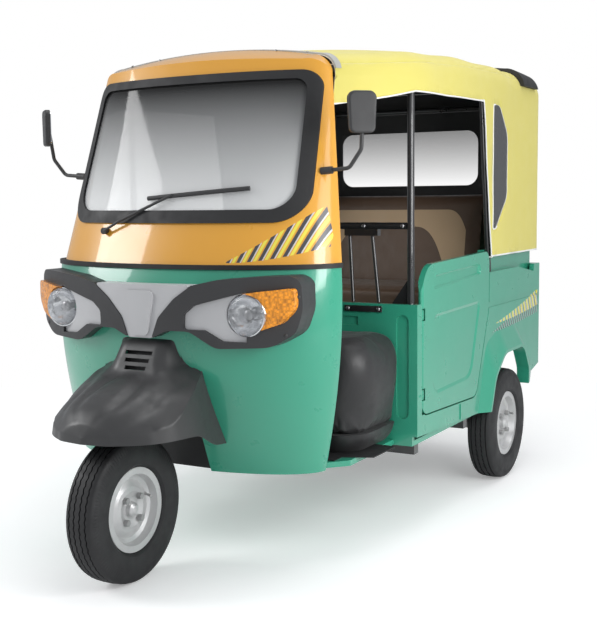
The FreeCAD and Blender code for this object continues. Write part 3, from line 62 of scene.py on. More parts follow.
class Finish:
    """A node material: the shader's plain values, then patterns wired into it."""

    def __init__(self, name, colour, rough, **values):
        self.material = bpy.data.materials.new(name)
        self.material.use_nodes = True
        self.tree = self.material.node_tree
        self.shader = self.tree.nodes["Principled BSDF"]
        self.colour = colour
        self.set("Base Color", (*colour, 1.0))
        self.set("Roughness", rough)
        for key, value in values.items():
            self.set(key.replace("_", " ").title().replace("Ior", "IOR"), value)

    def set(self, socket, value):
        self.shader.inputs[socket].default_value = value

    def wire(self, output, socket):
        self.tree.links.new(output, self.shader.inputs[socket])

    def add(self, kind, inputs=(), **settings):
        node = self.tree.nodes.new(kind)
        for key, value in settings.items():
            setattr(node, key, value)
        for key, value in dict(inputs).items():
            if isinstance(value, bpy.types.NodeSocket):
                self.tree.links.new(value, node.inputs[key])
            else:
                node.inputs[key].default_value = value
        return node

    def place(self):
        """The point's place in the vehicle's frame, as x, y, z sockets after the vector."""
        where = self.add("ShaderNodeTexCoord").outputs["Object"]
        parts = self.add("ShaderNodeSeparateXYZ", {"Vector": where}).outputs
        return where, parts["X"], parts["Y"], parts["Z"]

    def calc(self, operation, a, b=0.0, c=0.0):
        """One Math node's result; a, b and c are numbers or sockets."""
        return self.add("ShaderNodeMath", {0: a, 1: b, 2: c}, operation=operation).outputs[0]

    def noise(self, scale, detail=2.0):
        inputs = {"Vector": self.place()[0], "Scale": scale, "Detail": detail}
        return self.add("ShaderNodeTexNoise", inputs).outputs["Fac"]

    def grain(self, scale):
        """Fine cells, as the grain of leather or of moulded plastic."""
        inputs = {"Vector": self.place()[0], "Scale": scale}
        return self.add("ShaderNodeTexVoronoi", inputs).outputs["Distance"]

    def between(self, value, low, high, to_low=0.0, to_high=1.0):
        """Maps a value from one range to another, held at both ends."""
        inputs = {"Value": value, "From Min": low, "From Max": high, "To Min": to_low, "To Max": to_high}
        return self.add("ShaderNodeMapRange", inputs).outputs["Result"]

    def mix(self, factor, a, b):
        """Goes from colour a to b as factor goes from 0 to 1; a colour is a tuple or a socket."""
        node = self.add("ShaderNodeMix", {0: factor}, data_type="RGBA")
        for socket, colour in ((node.inputs[6], a), (node.inputs[7], b)):
            if isinstance(colour, tuple):
                socket.default_value = (*colour, 1.0)
            else:
                self.tree.links.new(colour, socket)
        return node.outputs[2]

    def bump(self, height, distance, strength, over=None):
        """Relief from a height, laid over another relief's normal if one is given."""
        inputs = {"Height": height, "Distance": distance, "Strength": strength}
        if over is not None:
            inputs["Normal"] = over
        normal = self.add("ShaderNodeBump", inputs).outputs["Normal"]
        self.wire(normal, "Normal")
        return normal

    def shade_by(self, factor, darker, lighter):
        """Colour that drifts between two brightnesses of the plain colour."""
        low = tuple(c * darker for c in self.colour)
        high = tuple(min(1.0, c * lighter) for c in self.colour)
        out = self.mix(factor, low, high)
        self.wire(out, "Base Color")
        return out

    def rough_by(self, factor, low, high):
        self.wire(self.between(factor, 0.3, 0.7, low, high), "Roughness")


def paint(name, colour):
    """Stoved enamel with a faint long ripple and slight drift of shade."""
    finish = Finish(name, colour, 0.3, coat_weight=0.7, coat_roughness=0.05)
    finish.painted = finish.shade_by(finish.noise(2.2, 3), 0.95, 1.05)
    finish.rough_by(finish.noise(9.0, 4), 0.26, 0.36)
    finish.bump(finish.noise(7.0, 2), 0.0008, 0.25)
    return finish


def moulded_plastic(name, colour, rough=0.5, grain_depth=0.0002):
    """Moulded plastic with a fine leather-like grain."""
    finish = Finish(name, colour, rough)
    finish.shade_by(finish.noise(5.0, 3), 0.88, 1.15)
    finish.rough_by(finish.noise(30.0, 4), rough - 0.06, rough + 0.1)
    finish.bump(finish.grain(700.0), grain_depth, 0.5)
    return finish


def rubber(name, colour):
    """Matt rubber with a fine rough skin."""
    finish = Finish(name, colour, 0.62)
    finish.shade_by(finish.noise(7.0, 4), 0.8, 1.35)
    finish.rough_by(finish.noise(20.0, 5), 0.52, 0.72)
    finish.bump(finish.noise(330.0, 3), 0.0004, 0.4)
    return finish


def bare_metal(name, colour, rough, metallic):
    """Cast or turned metal, slightly uneven in shade and gloss."""
    finish = Finish(name, colour, rough, metallic=metallic)
    finish.shade_by(finish.noise(12.0, 4), 0.85, 1.1)
    finish.rough_by(finish.noise(45.0, 4), rough - 0.08, rough + 0.12)
    finish.bump(finish.noise(240.0, 3), 0.0003, 0.3)
    return finish


def within(finish, *ranges):
    """One inside every (value, low, high) range, else nothing."""
    inside = 1.0
    for value, low, high in ranges:
        for held in (finish.calc("GREATER_THAN", value, low), finish.calc("LESS_THAN", value, high)):
            inside = finish.calc("MULTIPLY", held, inside)
    return inside


def slanted_bars(finish, bands):
    """Plain slanted bars over the paint, in bands that rise and grow as they run. A band is
    its two sockets and where it holds, then its run, foot, rise, last height, the pitch and
    lean of its bars, and the colours within one pitch as (start, end, colour)."""
    out = finish.painted
    for along, z, held, (start, end), foot, rise, height, pitch, lean, colours in bands:
        share = finish.between(along, start, end)
        low = finish.calc("MULTIPLY_ADD", finish.calc("MULTIPLY", share, share), rise, foot)
        tall = finish.calc("MULTIPLY", share, height)
        inside = within(finish, (along, start, end))
        inside = finish.calc("MULTIPLY", inside, held)
        inside = finish.calc("MULTIPLY", inside, finish.calc("GREATER_THAN", z, low))
        inside = finish.calc("MULTIPLY", inside, finish.calc("LESS_THAN", z, finish.calc("ADD", low, tall)))
        turn = finish.calc("FRACT", finish.calc("DIVIDE", finish.calc("MULTIPLY_ADD", z, lean, along), pitch))
        for a, b, colour in colours:
            bar = within(finish, (turn, a, b))
            out = finish.mix(finish.calc("MULTIPLY", bar, inside), out, colour)
    finish.wire(out, "Base Color")


# Side opening of the canopy, as corners (behind, height), with its white binding
OPENING = ((0.300, 0.900), (1.770, 0.900), (1.643, 1.698), (0.930, 1.687), (0.583, 1.622), (0.300, 1.602))
BINDING_W = 0.007
HEM_Z = 1.028
THREADS = 3600.0


def outside_opening(finish, y, z):
    """How far a point of the canopy's side lies outside its opening."""
    reach = -1.0
    for (ya, za), (yb, zb) in zip(OPENING, OPENING[1:] + OPENING[:1]):
        length = math.hypot(yb - ya, zb - za)
        ny, nz = (zb - za) / length, -(yb - ya) / length
        step = finish.calc("MULTIPLY_ADD", y, ny, -ny * y_at(ya) - nz * za)
        reach = finish.calc("MAXIMUM", finish.calc("MULTIPLY_ADD", z, nz, step), reach)
    return reach


def coated_cloth(name, colour, binding=None):
    """Coated canvas: a fine weave, soft long creases, slight fading and a bound edge."""
    finish = Finish(name, colour, 0.62, sheen_weight=0.15)
    where, x, y, z = finish.place()
    cloth = finish.shade_by(finish.noise(1.7, 4), 0.93, 1.06)
    if binding:
        opening = finish.calc("LESS_THAN", outside_opening(finish, y, z), BINDING_W)
        edge = finish.calc("MAXIMUM", opening, finish.calc("LESS_THAN", z, HEM_Z + BINDING_W))
        finish.wire(finish.mix(edge, cloth, binding), "Base Color")
    warp = finish.calc("SINE", finish.calc("MULTIPLY", y, THREADS))
    weft = finish.calc("SINE", finish.calc("MULTIPLY", finish.calc("ADD", x, z), THREADS))
    weave = finish.calc("MULTIPLY", warp, weft)
    folds = finish.bump(finish.noise(3.2, 2), 0.006, 0.35)
    finish.bump(weave, 0.00012, 0.5, over=folds)
    finish.rough_by(finish.noise(14.0, 4), 0.55, 0.7)
    return finish


# Half widths of the backrest's light field and of the dark arch in it, with their tops
FIELD_HALF = 0.412
FIELD_TOP = 1.230
ARCH_HALF = 0.300
ARCH_TOP = 1.147


def backrest_fields(finish):
    """A broad light field in the backrest, and a dark arch inside that."""
    _, x, _, z = finish.place()
    side = finish.calc("ABSOLUTE", x)
    field_round = finish.calc("POWER", finish.between(side, 0.30, FIELD_HALF), 3.0)
    arch_round = finish.calc("POWER", finish.between(side, 0.14, ARCH_HALF), 2.6)
    field_top = finish.calc("MULTIPLY_ADD", field_round, -0.10, FIELD_TOP)
    arch_top = finish.calc("MULTIPLY_ADD", arch_round, -0.174, ARCH_TOP)
    in_field = finish.calc("LESS_THAN", side, FIELD_HALF)
    in_arch = finish.calc("LESS_THAN", side, ARCH_HALF)
    light = finish.calc("MULTIPLY", finish.calc("LESS_THAN", z, field_top), in_field)
    dark = finish.calc("MULTIPLY", finish.calc("LESS_THAN", z, arch_top), in_arch)
    return finish.calc("SUBTRACT", light, dark)


def seat_hide(name, colour, second=None, fields=None):
    """Seat cover of grained artificial leather, with a second colour in some fields."""
    finish = Finish(name, colour, 0.45, sheen_weight=0.08)
    base = finish.shade_by(finish.noise(6.0, 4), 0.85, 1.12)
    if second:
        finish.wire(finish.mix(fields(finish), base, second), "Base Color")
    creases = finish.bump(finish.noise(9.0, 3), 0.003, 0.3)
    finish.bump(finish.grain(420.0), 0.0005, 0.45, over=creases)
    finish.rough_by(finish.noise(25.0, 3), 0.38, 0.55)
    return finish


# Heights between which the screen goes from a pale painted sky reflection into its dark tint band, and where
# the rear window starts
BAND_FOOT = 1.26
BAND_TOP = 1.70
REAR_WINDOW = 2.39


def tinted_screen_painted_reflection():
    """Laminated glass with a dark tint band at the top that fades towards the bottom into a pale painted
    reflection of the sky.
    """
    finish = Finish("screen_glass", (0.5, 0.5, 0.5), 0.05, specular_ior_level=0.25)
    z = finish.place()[3]
    share = finish.between(z, BAND_FOOT, BAND_TOP)
    # Painted reflection: the pale colour low on the screen stands for the sky's reflection; the dark colour
    # at the top is the glass's tint.
    finish.wire(finish.mix(share, (0.86, 0.87, 0.87), (0.022, 0.022, 0.022)), "Base Color")
    finish.wire(finish.between(share, 0.0, 1.0, 0.62, 0.9), "Alpha")
    finish.rough_by(finish.noise(4.0), 0.04, 0.07)
    return finish


def window_film():
    """Flexible film: smoked in the quarter windows, and in the rear one fading to clear."""
    finish = Finish("window_film", (0.06, 0.06, 0.065), 0.12, specular_ior_level=0.4)
    _, _, y, z = finish.place()
    finish.bump(finish.noise(5.0, 2), 0.003, 0.3)
    behind = finish.calc("GREATER_THAN", y, y_at(REAR_WINDOW))
    fade = finish.between(z, 1.36, 1.62, 0.03, 0.5)
    smoked = finish.between(z, 1.2, 1.7, 0.86, 0.8)
    clear = finish.calc("MULTIPLY", behind, fade)
    finish.wire(finish.calc("MULTIPLY_ADD", finish.calc("SUBTRACT", 1.0, behind), smoked, clear), "Alpha")
    return finish


def lens(name, colour, scale, alpha=1.0):
    """Moulded lamp lens with a pattern of small prisms behind its smooth face; each prism is painted lighter
    at its middle and darker at its edges, a painted glint and shade.
    """
    finish = Finish(name, colour, 0.08, coat_weight=1.0, coat_roughness=0.03, alpha=alpha)
    where = finish.place()[0]
    cells = finish.add("ShaderNodeTexVoronoi", {"Vector": where, "Scale": scale}, distance="CHEBYCHEV")
    # Painted glint and shade: each prism's colour is lighter at its middle and darker towards its edges.
    finish.shade_by(finish.between(cells.outputs["Distance"], 0.0, 0.8), 1.5, 0.45)
    finish.bump(cells.outputs["Distance"], 0.004, 0.6)
    return finish


GREEN = (0.035, 0.34, 0.215)
ORANGE = (0.76, 0.36, 0.035)
YELLOW = (0.70, 0.62, 0.145)
CHARCOAL = (0.05, 0.05, 0.06)
LEMON = (0.80, 0.72, 0.08)
PALE = (0.62, 0.62, 0.62)
BINDING_WHITE = (0.85, 0.85, 0.83)
BROWN = (0.12, 0.072, 0.045)
TAN = (0.56, 0.39, 0.23)

enamel_green = paint("green_enamel", GREEN)
enamel_orange = paint("orange_enamel", ORANGE)
enamel_black = paint("black_enamel", (0.018, 0.018, 0.019))
dark_plastic = moulded_plastic("dark_plastic", (0.035, 0.035, 0.036))
guard_plastic = moulded_plastic("guard_plastic", (0.045, 0.045, 0.046), 0.4, 0.0001)
mask_plastic = moulded_plastic("mask_plastic", (0.04, 0.04, 0.042), 0.4, 0.0001)
silver_plastic = moulded_plastic("silver_plastic", (0.52, 0.52, 0.53), 0.38, 0.00005)
wheel_silver = bare_metal("wheel_silver", (0.62, 0.62, 0.62), 0.38, 0.5)
cast_metal = bare_metal("cast_metal", (0.25, 0.25, 0.25), 0.55, 0.6)
tyre_rubber = rubber("tyre_rubber", (0.017, 0.017, 0.018))
black_rubber = rubber("black_rubber", (0.015, 0.015, 0.016))
canopy_cloth = coated_cloth("canopy_cloth", YELLOW, BINDING_WHITE)
binding_cloth = coated_cloth("binding_cloth", BINDING_WHITE)
canopy_lining = coated_cloth("canopy_lining", (0.028, 0.028, 0.028))
strip_cloth = coated_cloth("strip_cloth", (0.42, 0.42, 0.40))
black_hide = seat_hide("black_hide", (0.02, 0.02, 0.021))
brown_hide = seat_hide("brown_hide", BROWN)
two_tone_hide = seat_hide("two_tone_hide", BROWN, TAN, backrest_fields)
screen_glass = tinted_screen_painted_reflection()
film_clear = window_film()
mirror_face = Finish("mirror_face", (0.8, 0.82, 0.84), 0.04, metallic=1.0)
mirror_face.rough_by(mirror_face.noise(3.0), 0.02, 0.05)
amber_lens = lens("amber_lens", (0.85, 0.30, 0.01), 90.0)
red_lens = lens("red_lens", (0.42, 0.012, 0.01), 110.0)
clear_lens = lens("clear_lens", (0.8, 0.82, 0.84), 70.0, 0.25)
reflector = bare_metal("reflector", (0.75, 0.76, 0.78), 0.12, 1.0)
screw_metal = bare_metal("screw_metal", (0.30, 0.30, 0.31), 0.35, 0.9)
nut_metal = bare_metal("nut_metal", (0.40, 0.40, 0.40), 0.4, 0.6)


def beyond_side(finish, x):
    """One on the faces that lie out at the body's sides, else nothing."""
    return finish.calc("GREATER_THAN", finish.calc("ABSOLUTE", x), BODY_SIDE - 0.006)


def add_graphics():
    """Plain bars on the outside of the cab's front and along the body's sides."""
    _, x, y, z = enamel_orange.place()
    outer = enamel_orange.add("ShaderNodeTexCoord").outputs["Normal"]
    ahead = enamel_orange.add("ShaderNodeSeparateXYZ", {"Vector": outer}).outputs["Y"]
    front = within(enamel_orange, (y, -1.2, y_at(0.46)), (ahead, -1.1, -0.01))
    bars = ((0.06, 0.40, CHARCOAL), (0.40, 0.52, PALE), (0.62, 0.90, LEMON))
    slanted_bars(enamel_orange, [
        (x, z, front, (0.27, 0.572), 1.082, 0.05, 0.16, 0.034, -0.35, bars),
    ])
    _, x, y, z = enamel_green.place()
    side = beyond_side(enamel_green, x)
    low_bars = ((0.05, 0.45, CHARCOAL), (0.45, 0.60, PALE))
    high_bars = ((0.10, 0.55, LEMON), (0.60, 0.80, PALE))
    slanted_bars(enamel_green, [
        (y, z, side, (y_at(1.76), y_at(2.44)), 0.690, 0.03, 0.11, 0.030, 0.5, low_bars),
        (y, z, side, (y_at(1.80), y_at(2.43)), 0.725, 0.03, 0.075, 0.046, 0.5, high_bars),
    ])


add_graphics()

# The CAD nodes that show as they are; pieces made below stand for the others
NODE_FINISH = {
    "front_shell_upper": enamel_orange,
    "front_shell_lower": enamel_green,
    "door_left": enamel_green,
    "fixed_half_panel_right": enamel_green,
    "side_panel_left": enamel_green,
    "side_panel_right": enamel_green,
    "tail_panel": enamel_green,
    "engine_lid": enamel_green,
    "floor_pan": enamel_green,
    "bulkhead": enamel_green,
    "canopy_front_strip": strip_cloth,
    "canopy_windows": film_clear,
    "canopy_frame": enamel_black,
    "quarter_posts": enamel_black,
    "chassis_frame": enamel_black,
    "partition_rack": enamel_black,
    "front_fork": enamel_black,
    "steering_head": enamel_black,
    "rear_suspension": cast_metal,
    "handlebar": enamel_black,
    "handlebar_grips": black_rubber,
    "dashboard": dark_plastic,
    "front_wheel_well": dark_plastic,
    "wheel_liners": dark_plastic,
    "belt_moulding": black_rubber,
    "windscreen_seal": black_rubber,
    "roof_band": black_rubber,
    "headlamp_mask": mask_plastic,
    "mirrors": dark_plastic,
    "wiper": dark_plastic,
    "driver_seat_base": black_hide,
    "passenger_seat_base": enamel_black,
    "lamp_trim": silver_plastic,
    "front_turn_signals": amber_lens,
    "tail_lamps": red_lens,
    "windscreen": screen_glass,
    "mirror_glass": mirror_face,
    "front_rim": wheel_silver,
    "rear_rim_left": wheel_silver,
    "rear_rim_right": wheel_silver,
    "engine_block": cast_metal,
    "exhaust": cast_metal,
}


def dress_nodes():
    for name, finish in NODE_FINISH.items():
        slots = nodes[name].material_slots
        if slots:
            for held in slots:
                held.material = finish.material
        else:
            nodes[name].data.materials.append(finish.material)


dress_nodes()


# Mesh helpers


def mesh_from(bm, name):
    mesh = bpy.data.meshes.new(name)
    bm.to_mesh(mesh)
    bm.free()
    return mesh


def new_piece(name, mesh_maker, finish, body, smooth):
    """A mesh built by mesh_maker(bm), finished and carried by a body."""
    bm = bmesh.new()
    mesh_maker(bm)
    bmesh.ops.remove_doubles(bm, verts=bm.verts, dist=1e-5)
    bmesh.ops.recalc_face_normals(bm, faces=bm.faces)
    return settle(name, mesh_from(bm, name), finish, body, smooth)


def settle(name, mesh, finish, body, smooth):
    """Makes a mesh a finished piece; edges sharper than smooth degrees stay crisp."""
    piece = bpy.data.objects.new(name, mesh)
    bpy.context.scene.collection.objects.link(piece)
    mesh.materials.append(finish.material)
    mesh.shade_smooth()
    mesh.set_sharp_from_angle(angle=math.radians(smooth))
    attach(piece, body)
    return piece


def node_copy(name):
    """A merged copy of a CAD node's mesh as a bmesh."""
    bm = bmesh.new()
    bm.from_mesh(nodes[name].data)
    bmesh.ops.remove_doubles(bm, verts=bm.verts, dist=2e-5)
    return bm


# Tyres with their tread

TYRE_R = 0.253
TREAD_HALF = 0.042
TREAD_CROWN = 0.0032
GROOVES = (-0.033, -0.0115, 0.0115, 0.033)
GROOVE_HALF = 0.0026
GROOVE_FLOOR_HALF = 0.0014
GROOVE_DEPTH = 0.0065
GROOVE_WAVE = 0.0017
RIB_CUT = 0.0012
STEPS = 360


def tyre_profile():
    """Section from bead to bead over the tread, as (x, radius, kind)."""
    wall = [
        (-0.0417, 0.1273, ""),
        (-0.0417, 0.1470, ""),
        (-0.0490, 0.1500, ""),
        (-0.0545, 0.1560, ""),
        (-0.0560, 0.1575, ""),
        (-0.0563, 0.1600, ""),
        (-0.0585, 0.1700, ""),
        (-0.0600, 0.1900, ""),
        (-0.0596, 0.2080, ""),
        (-0.0590, 0.2120, ""),
        (-0.0588, 0.2160, "rib"),
        (-0.0580, 0.2230, "rib"),
        (-0.0568, 0.2290, "rib"),
        (-0.0552, 0.2340, "rib"),
        (-0.0530, 0.2400, ""),
        (-0.0500, 0.2445, ""),
    ]
    tread = [(-0.0465, 0.2475, ""), (-0.0400, 0.2496, "")]
    for x in GROOVES:
        top = TYRE_R - TREAD_CROWN * (abs(x) / TREAD_HALF) ** 2
        foot = top - GROOVE_DEPTH
        tread += [(x - GROOVE_HALF, top, "wave"), (x - GROOVE_FLOOR_HALF, foot, "wave")]
        tread += [(x + GROOVE_FLOOR_HALF, foot, "wave"), (x + GROOVE_HALF, top, "wave")]
        if x == GROOVES[1]:
            tread.append((0.0, TYRE_R - 0.0001, ""))
    right = [(-x, r, kind) for x, r, kind in reversed(wall + tread[:2])]
    return wall + tread + right


def road_tyre(name, node, body):
    """A tyre turned from its section, with waved grooves and cuts in its shoulder ribs."""
    low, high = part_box(node)
    centre = (low + high) / 2
    profile = tyre_profile()

    def make(bm):
        ring = [bm.verts.new(centre + Vector((x, 0, r))) for x, r, _ in profile]
        ring.append(ring[0])
        edges = [bm.edges.new(pair) for pair in zip(ring, ring[1:])]
        bmesh.ops.spin(bm, geom=ring[:-1] + edges, cent=centre, axis=(1, 0, 0),
                       angle=2 * math.pi, steps=STEPS, use_merge=True)
        kinds = {(round(x, 5), round(r, 5)): kind for x, r, kind in profile}
        for v in bm.verts:
            arm = v.co - centre
            radius = math.hypot(arm.y, arm.z)
            kind = kinds.get((round(arm.x, 5), round(radius, 5)), "")
            step = round(math.atan2(arm.y, arm.z) / (2 * math.pi) * STEPS) % STEPS
            if kind == "wave":
                v.co.x += GROOVE_WAVE * math.sin(2 * math.pi * step / 6)
            if kind == "rib" and step % 3 == 0:
                v.co.x -= math.copysign(RIB_CUT, arm.x)

    piece = new_piece(name, make, tyre_rubber, body, 28)
    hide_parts(node)


road_tyre("front_tyre_treaded", "front_tyre", "front_wheel")
road_tyre("rear_tyre_left_treaded", "rear_tyre_left", "rear_wheel_left")
road_tyre("rear_tyre_right_treaded", "rear_tyre_right", "rear_wheel_right")


# Seat cushions

CUSHION_VOXEL = 0.010
CUSHION_INSET = 0.004
CUSHION_REACH = 0.014
AIR_PRESSURE = 4.0
AIR_FRAMES = 20


def stuffed(name, node, finish):
    """A cushion blown up by cloth from its block and held to a set reach."""
    piece = bpy.data.objects.new(name, mesh_from(node_copy(node), name))
    bpy.context.scene.collection.objects.link(piece)
    bpy.context.view_layer.objects.active = piece
    remesh = piece.modifiers.new("skin", "REMESH")
    remesh.mode = "VOXEL"
    remesh.voxel_size = CUSHION_VOXEL
    apply_all(piece)
    start = [v.co - v.normal * CUSHION_INSET for v in piece.data.vertices]
    for v, place in zip(piece.data.vertices, start):
        v.co = place
    blow_up(piece)
    for v, place in zip(piece.data.vertices, start):
        move = v.co - place
        if move.length > CUSHION_REACH:
            v.co = place + move * (CUSHION_REACH / move.length)
    smooth = piece.modifiers.new("finer", "SUBSURF")
    smooth.levels = 1
    smooth.render_levels = 1
    apply_all(piece)
    piece.data.materials.clear()
    piece.data.materials.append(finish.material)
    piece.data.shade_smooth()
    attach(piece, "body")
    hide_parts(node)


def apply_all(piece):
    """Bakes the modifiers into the mesh."""
    graph = bpy.context.evaluated_depsgraph_get()
    baked = bpy.data.meshes.new_from_object(piece.evaluated_get(graph))
    piece.modifiers.clear()
    piece.data = baked


def blow_up(piece):
    """Swells the piece by cloth under air pressure, and bakes the result."""
    cloth = piece.modifiers.new("cloth", "CLOTH")
    cloth.settings.use_pressure = True
    cloth.settings.uniform_pressure_force = AIR_PRESSURE
    cloth.settings.effector_weights.gravity = 0.0
    cloth.settings.quality = 5
    cloth.settings.tension_stiffness = 20
    scene = bpy.context.scene
    for step in range(1, AIR_FRAMES + 1):
        scene.frame_set(step)
    apply_all(piece)
    scene.frame_set(1)


stuffed("driver_cushion_padded", "driver_cushion", black_hide)
stuffed("passenger_cushion_padded", "passenger_cushion", brown_hide)
stuffed("passenger_backrest_padded", "passenger_backrest", two_tone_hide)


# Canopy cloth

CLOTH_PITCH = 0.05
CUT_SHIFT = 0.0003
CLOTH_WALL = 0.0035
ROOF_SAG = 0.0060
SHOULDER_Z = 1.74
SHOULDER_H = 0.12
PIPING_R = 0.0032
PIPING_OVER = 0.002
# Piping runs on edges further out than this and ahead of the quarter windows
PIPED_X = 0.60
PIPED_Y = 0.70
# A line along the middle of the cabin, from its front to its rear at one height
MIDDLE_FRONT = -0.45
MIDDLE_REAR = 0.75
MIDDLE_Z = 1.38
# Skin that looks out from that line is kept as cloth, the inner wall isn't
OUTER_FACING = 0.35
SUPPORTS = tuple(y_at(b) for b in (0.60, 0.957, 1.44, 1.93, 2.14))


def between_bows(y):
    """One halfway between two supports of the cloth, nothing over them and behind the last."""
    for a, b in zip(SUPPORTS, SUPPORTS[1:]):
        if a < y < b:
            return math.sin(math.pi * (y - a) / (b - a)) ** 2
    return 0.0


def slack(co):
    """How far the cloth falls in at a point: more on the roof than on the sides."""
    roof = min(1.0, max(0.0, (co.z - SHOULDER_Z) / SHOULDER_H))
    free = between_bows(co.y)
    wave = 0.0011 * math.sin(23 * co.y + 9 * co.z) * math.sin(17 * co.z + 5 * co.y)
    return free * (0.0015 + ROOF_SAG * roof) + wave * (1 - roof) * (0.3 + free)


def cloth_piece(name, node):
    """The outer skin of a canopy node, cut into a net, slackened and given its thickness."""
    bm = node_copy(node)
    low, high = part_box(node)
    for axis in range(3):
        way = Vector([float(i == axis) for i in range(3)])
        for i in range(1, int((high[axis] - low[axis]) / CLOTH_PITCH) + 1):
            place = way * (low[axis] + i * CLOTH_PITCH + CUT_SHIFT)
            everything = bm.verts[:] + bm.edges[:] + bm.faces[:]
            bmesh.ops.bisect_plane(bm, geom=everything, dist=1e-5, plane_co=place, plane_no=way)
    bm.normal_update()
    inner = [f for f in bm.faces if f.normal.dot(outward(f.calc_center_median())) < OUTER_FACING]
    bmesh.ops.delete(bm, geom=inner, context="FACES")
    for v in bm.verts:
        v.co -= outward(v.co) * slack(v.co)
    piece = settle(name, mesh_from(bm, name), canopy_cloth, "body", 40)
    piece.data.materials.append(canopy_lining.material)
    piece.data.materials.append(binding_cloth.material)
    wall = piece.modifiers.new("wall", "SOLIDIFY")
    wall.thickness = CLOTH_WALL
    wall.offset = -1.0
    wall.material_offset = 1
    wall.material_offset_rim = 2
    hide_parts(node)
    return piece


def at_side_opening(co):
    return abs(co.x) > PIPED_X and co.z < SHOULDER_Z and co.y < PIPED_Y


def bind_edge(cloth, name):
    """White piping along the cloth's free edges at the side openings."""
    edges = []
    bm = bmesh.new()
    bm.from_mesh(cloth.data)
    for edge in bm.edges:
        a, b = (v.co.copy() for v in edge.verts)
        if edge.is_boundary and at_side_opening(a) and at_side_opening(b):
            edges.append((a, b))
    bm.free()

    def piping(bm):
        for a, b in edges:
            end = (b - a).length + PIPING_OVER
            tube = [(-PIPING_OVER, 0.0), (-PIPING_OVER, PIPING_R), (end, PIPING_R), (end, 0.0)]
            lathe(bm, a, b - a, tube, 8)

    new_piece(name, piping, binding_cloth, "body", 60)


def outward(co):
    """The way out of the canopy from the line along its middle."""
    middle = Vector((0.0, min(max(co.y, MIDDLE_FRONT), MIDDLE_REAR), MIDDLE_Z))
    away = co - middle
    away.x *= 1.0 if abs(away.x) > 0.3 else 0.6
    return away.normalized()


# Front mudguard: a ribbed top over a skirt, with a vented neck against the cab

# Top: place behind the axle, height of the spine and of the crease at its side, in mm
GUARD_TOP = (
    (-225, 528, 524),
    (-208, 572, 545),
    (-165, 622, 547),
    (-112, 652, 554),
    (-50, 675, 572),
    (-10, 689, 592),
    (40, 702, 630),
    (100, 716, 668),
    (165, 730, 704),
    (320, 752, 730),
)
# Skirt in plan at two heights, and its lower edge seen from the side
SKIRT_LOW = (
    (0, -228), (92, -214), (132, -194), (168, -172), (204, -143), (230, -112),
    (262, -50), (275, 20), (278, 100), (266, 200), (256, 320),
)
SKIRT_HIGH = (
    (0, -190), (70, -178), (100, -160), (125, -142), (150, -118), (172, -92),
    (202, -40), (211, 25), (206, 100), (187, 200), (180, 320),
)
SKIRT_LEVELS = (430, 800)
SKIRT_EDGE = ((-230, 519), (-100, 519), (-24, 520), (52, 517), (90, 508), (165, 468), (225, 457), (330, 450))
# Neck: height, half width in front and against the cab, place of its front
GUARD_NECK = (
    (560, 225, 255, -100),
    (620, 200, 240, -30),
    (680, 145, 215, 42),
    (712, 114, 190, 68),
    (727, 104, 165, 76),
    (745, 99, 146, 84),
    (765, 95, 134, 94),
    (785, 92, 125, 104),
    (800, 89, 121, 114),
    (812, 85, 118, 127),
    (820, 78, 112, 144),
)
NECK_REAR = 170
NECK_ROUND = 30
GUARD_WALL = 0.004
GUARD_CLEAR = 0.0005
# Vents in the neck: half width and height of the lower lip
VENTS = ((44, 720), (51, 745), (57, 770))
VENT_H = 13
# Two shallow channels run along the top; the neck meets it in a soft corner
CHANNEL_DEPTH = 11.0
NECK_BLEND = 24.0
NECK_FLARE = 4
ROWS_ACROSS = 56
ROWS_DOWN = 14
ROWS_ALONG = 110


def curve_through(points, t):
    """Smooth curve through rows of numbers; t runs from 0 to the last row's number."""
    i = min(int(t), len(points) - 2)
    f = t - i
    around = [points[min(max(k, 0), len(points) - 1)] for k in (i - 1, i, i + 1, i + 2)]
    out = []
    for a, b, c, d in zip(*around):
        out.append(b + 0.5 * f * (c - a + f * (2 * a - 5 * b + 4 * c - d + f * (3 * (b - c) + d - a))))
    return out


def sampled(points, steps=400):
    """The smooth curve through the rows, as many short steps."""
    last = len(points) - 1.0
    return [curve_through(points, last * k / steps) for k in range(steps + 1)]


def row_at(rows, place):
    """Values at a place along the first column of sampled rows."""
    k = bisect.bisect_left(rows, place, 1, len(rows) - 1, key=lambda row: row[0])
    a, b = rows[k - 1], rows[k]
    share = (place - a[0]) / (b[0] - a[0])
    return [p + share * (q - p) for p, q in zip(a, b)]


TOP_ROWS = sampled(GUARD_TOP)
EDGE_ROWS = sampled(SKIRT_EDGE)
NECK_ROWS = sampled(GUARD_NECK)


def skirt_at(t, z):
    """Plan place of the skirt at a height, t along it from the nose to the rear."""
    share = (z - SKIRT_LEVELS[0]) / (SKIRT_LEVELS[1] - SKIRT_LEVELS[0])
    low = curve_through(SKIRT_LOW, t)
    high = curve_through(SKIRT_HIGH, t)
    return low[0] + share * (high[0] - low[0]), low[1] + share * (high[1] - low[1])


def neck_height(x, behind):
    """Height of the neck's flared wall over a point of the plan."""
    low, high = GUARD_NECK[0][0], GUARD_NECK[-1][0]
    if outside_neck(x, behind, low) > 0:
        return low - NECK_FLARE * outside_neck(x, behind, low)
    for _ in range(11):
        z = (low + high) / 2
        if outside_neck(x, behind, z) < 0:
            low = z
        else:
            high = z
    return low


def outside_neck(x, behind, z):
    """How far a point of the plan lies outside the neck at one height."""
    _, front_half, rear_half, front = row_at(NECK_ROWS, z)
    slope = (rear_half - front_half) / (NECK_REAR - front)
    side = abs(x) - front_half - slope * (behind - front) + NECK_ROUND
    ahead = front - behind + NECK_ROUND
    return math.hypot(max(side, 0), max(ahead, 0)) + min(max(side, ahead), 0) - NECK_ROUND


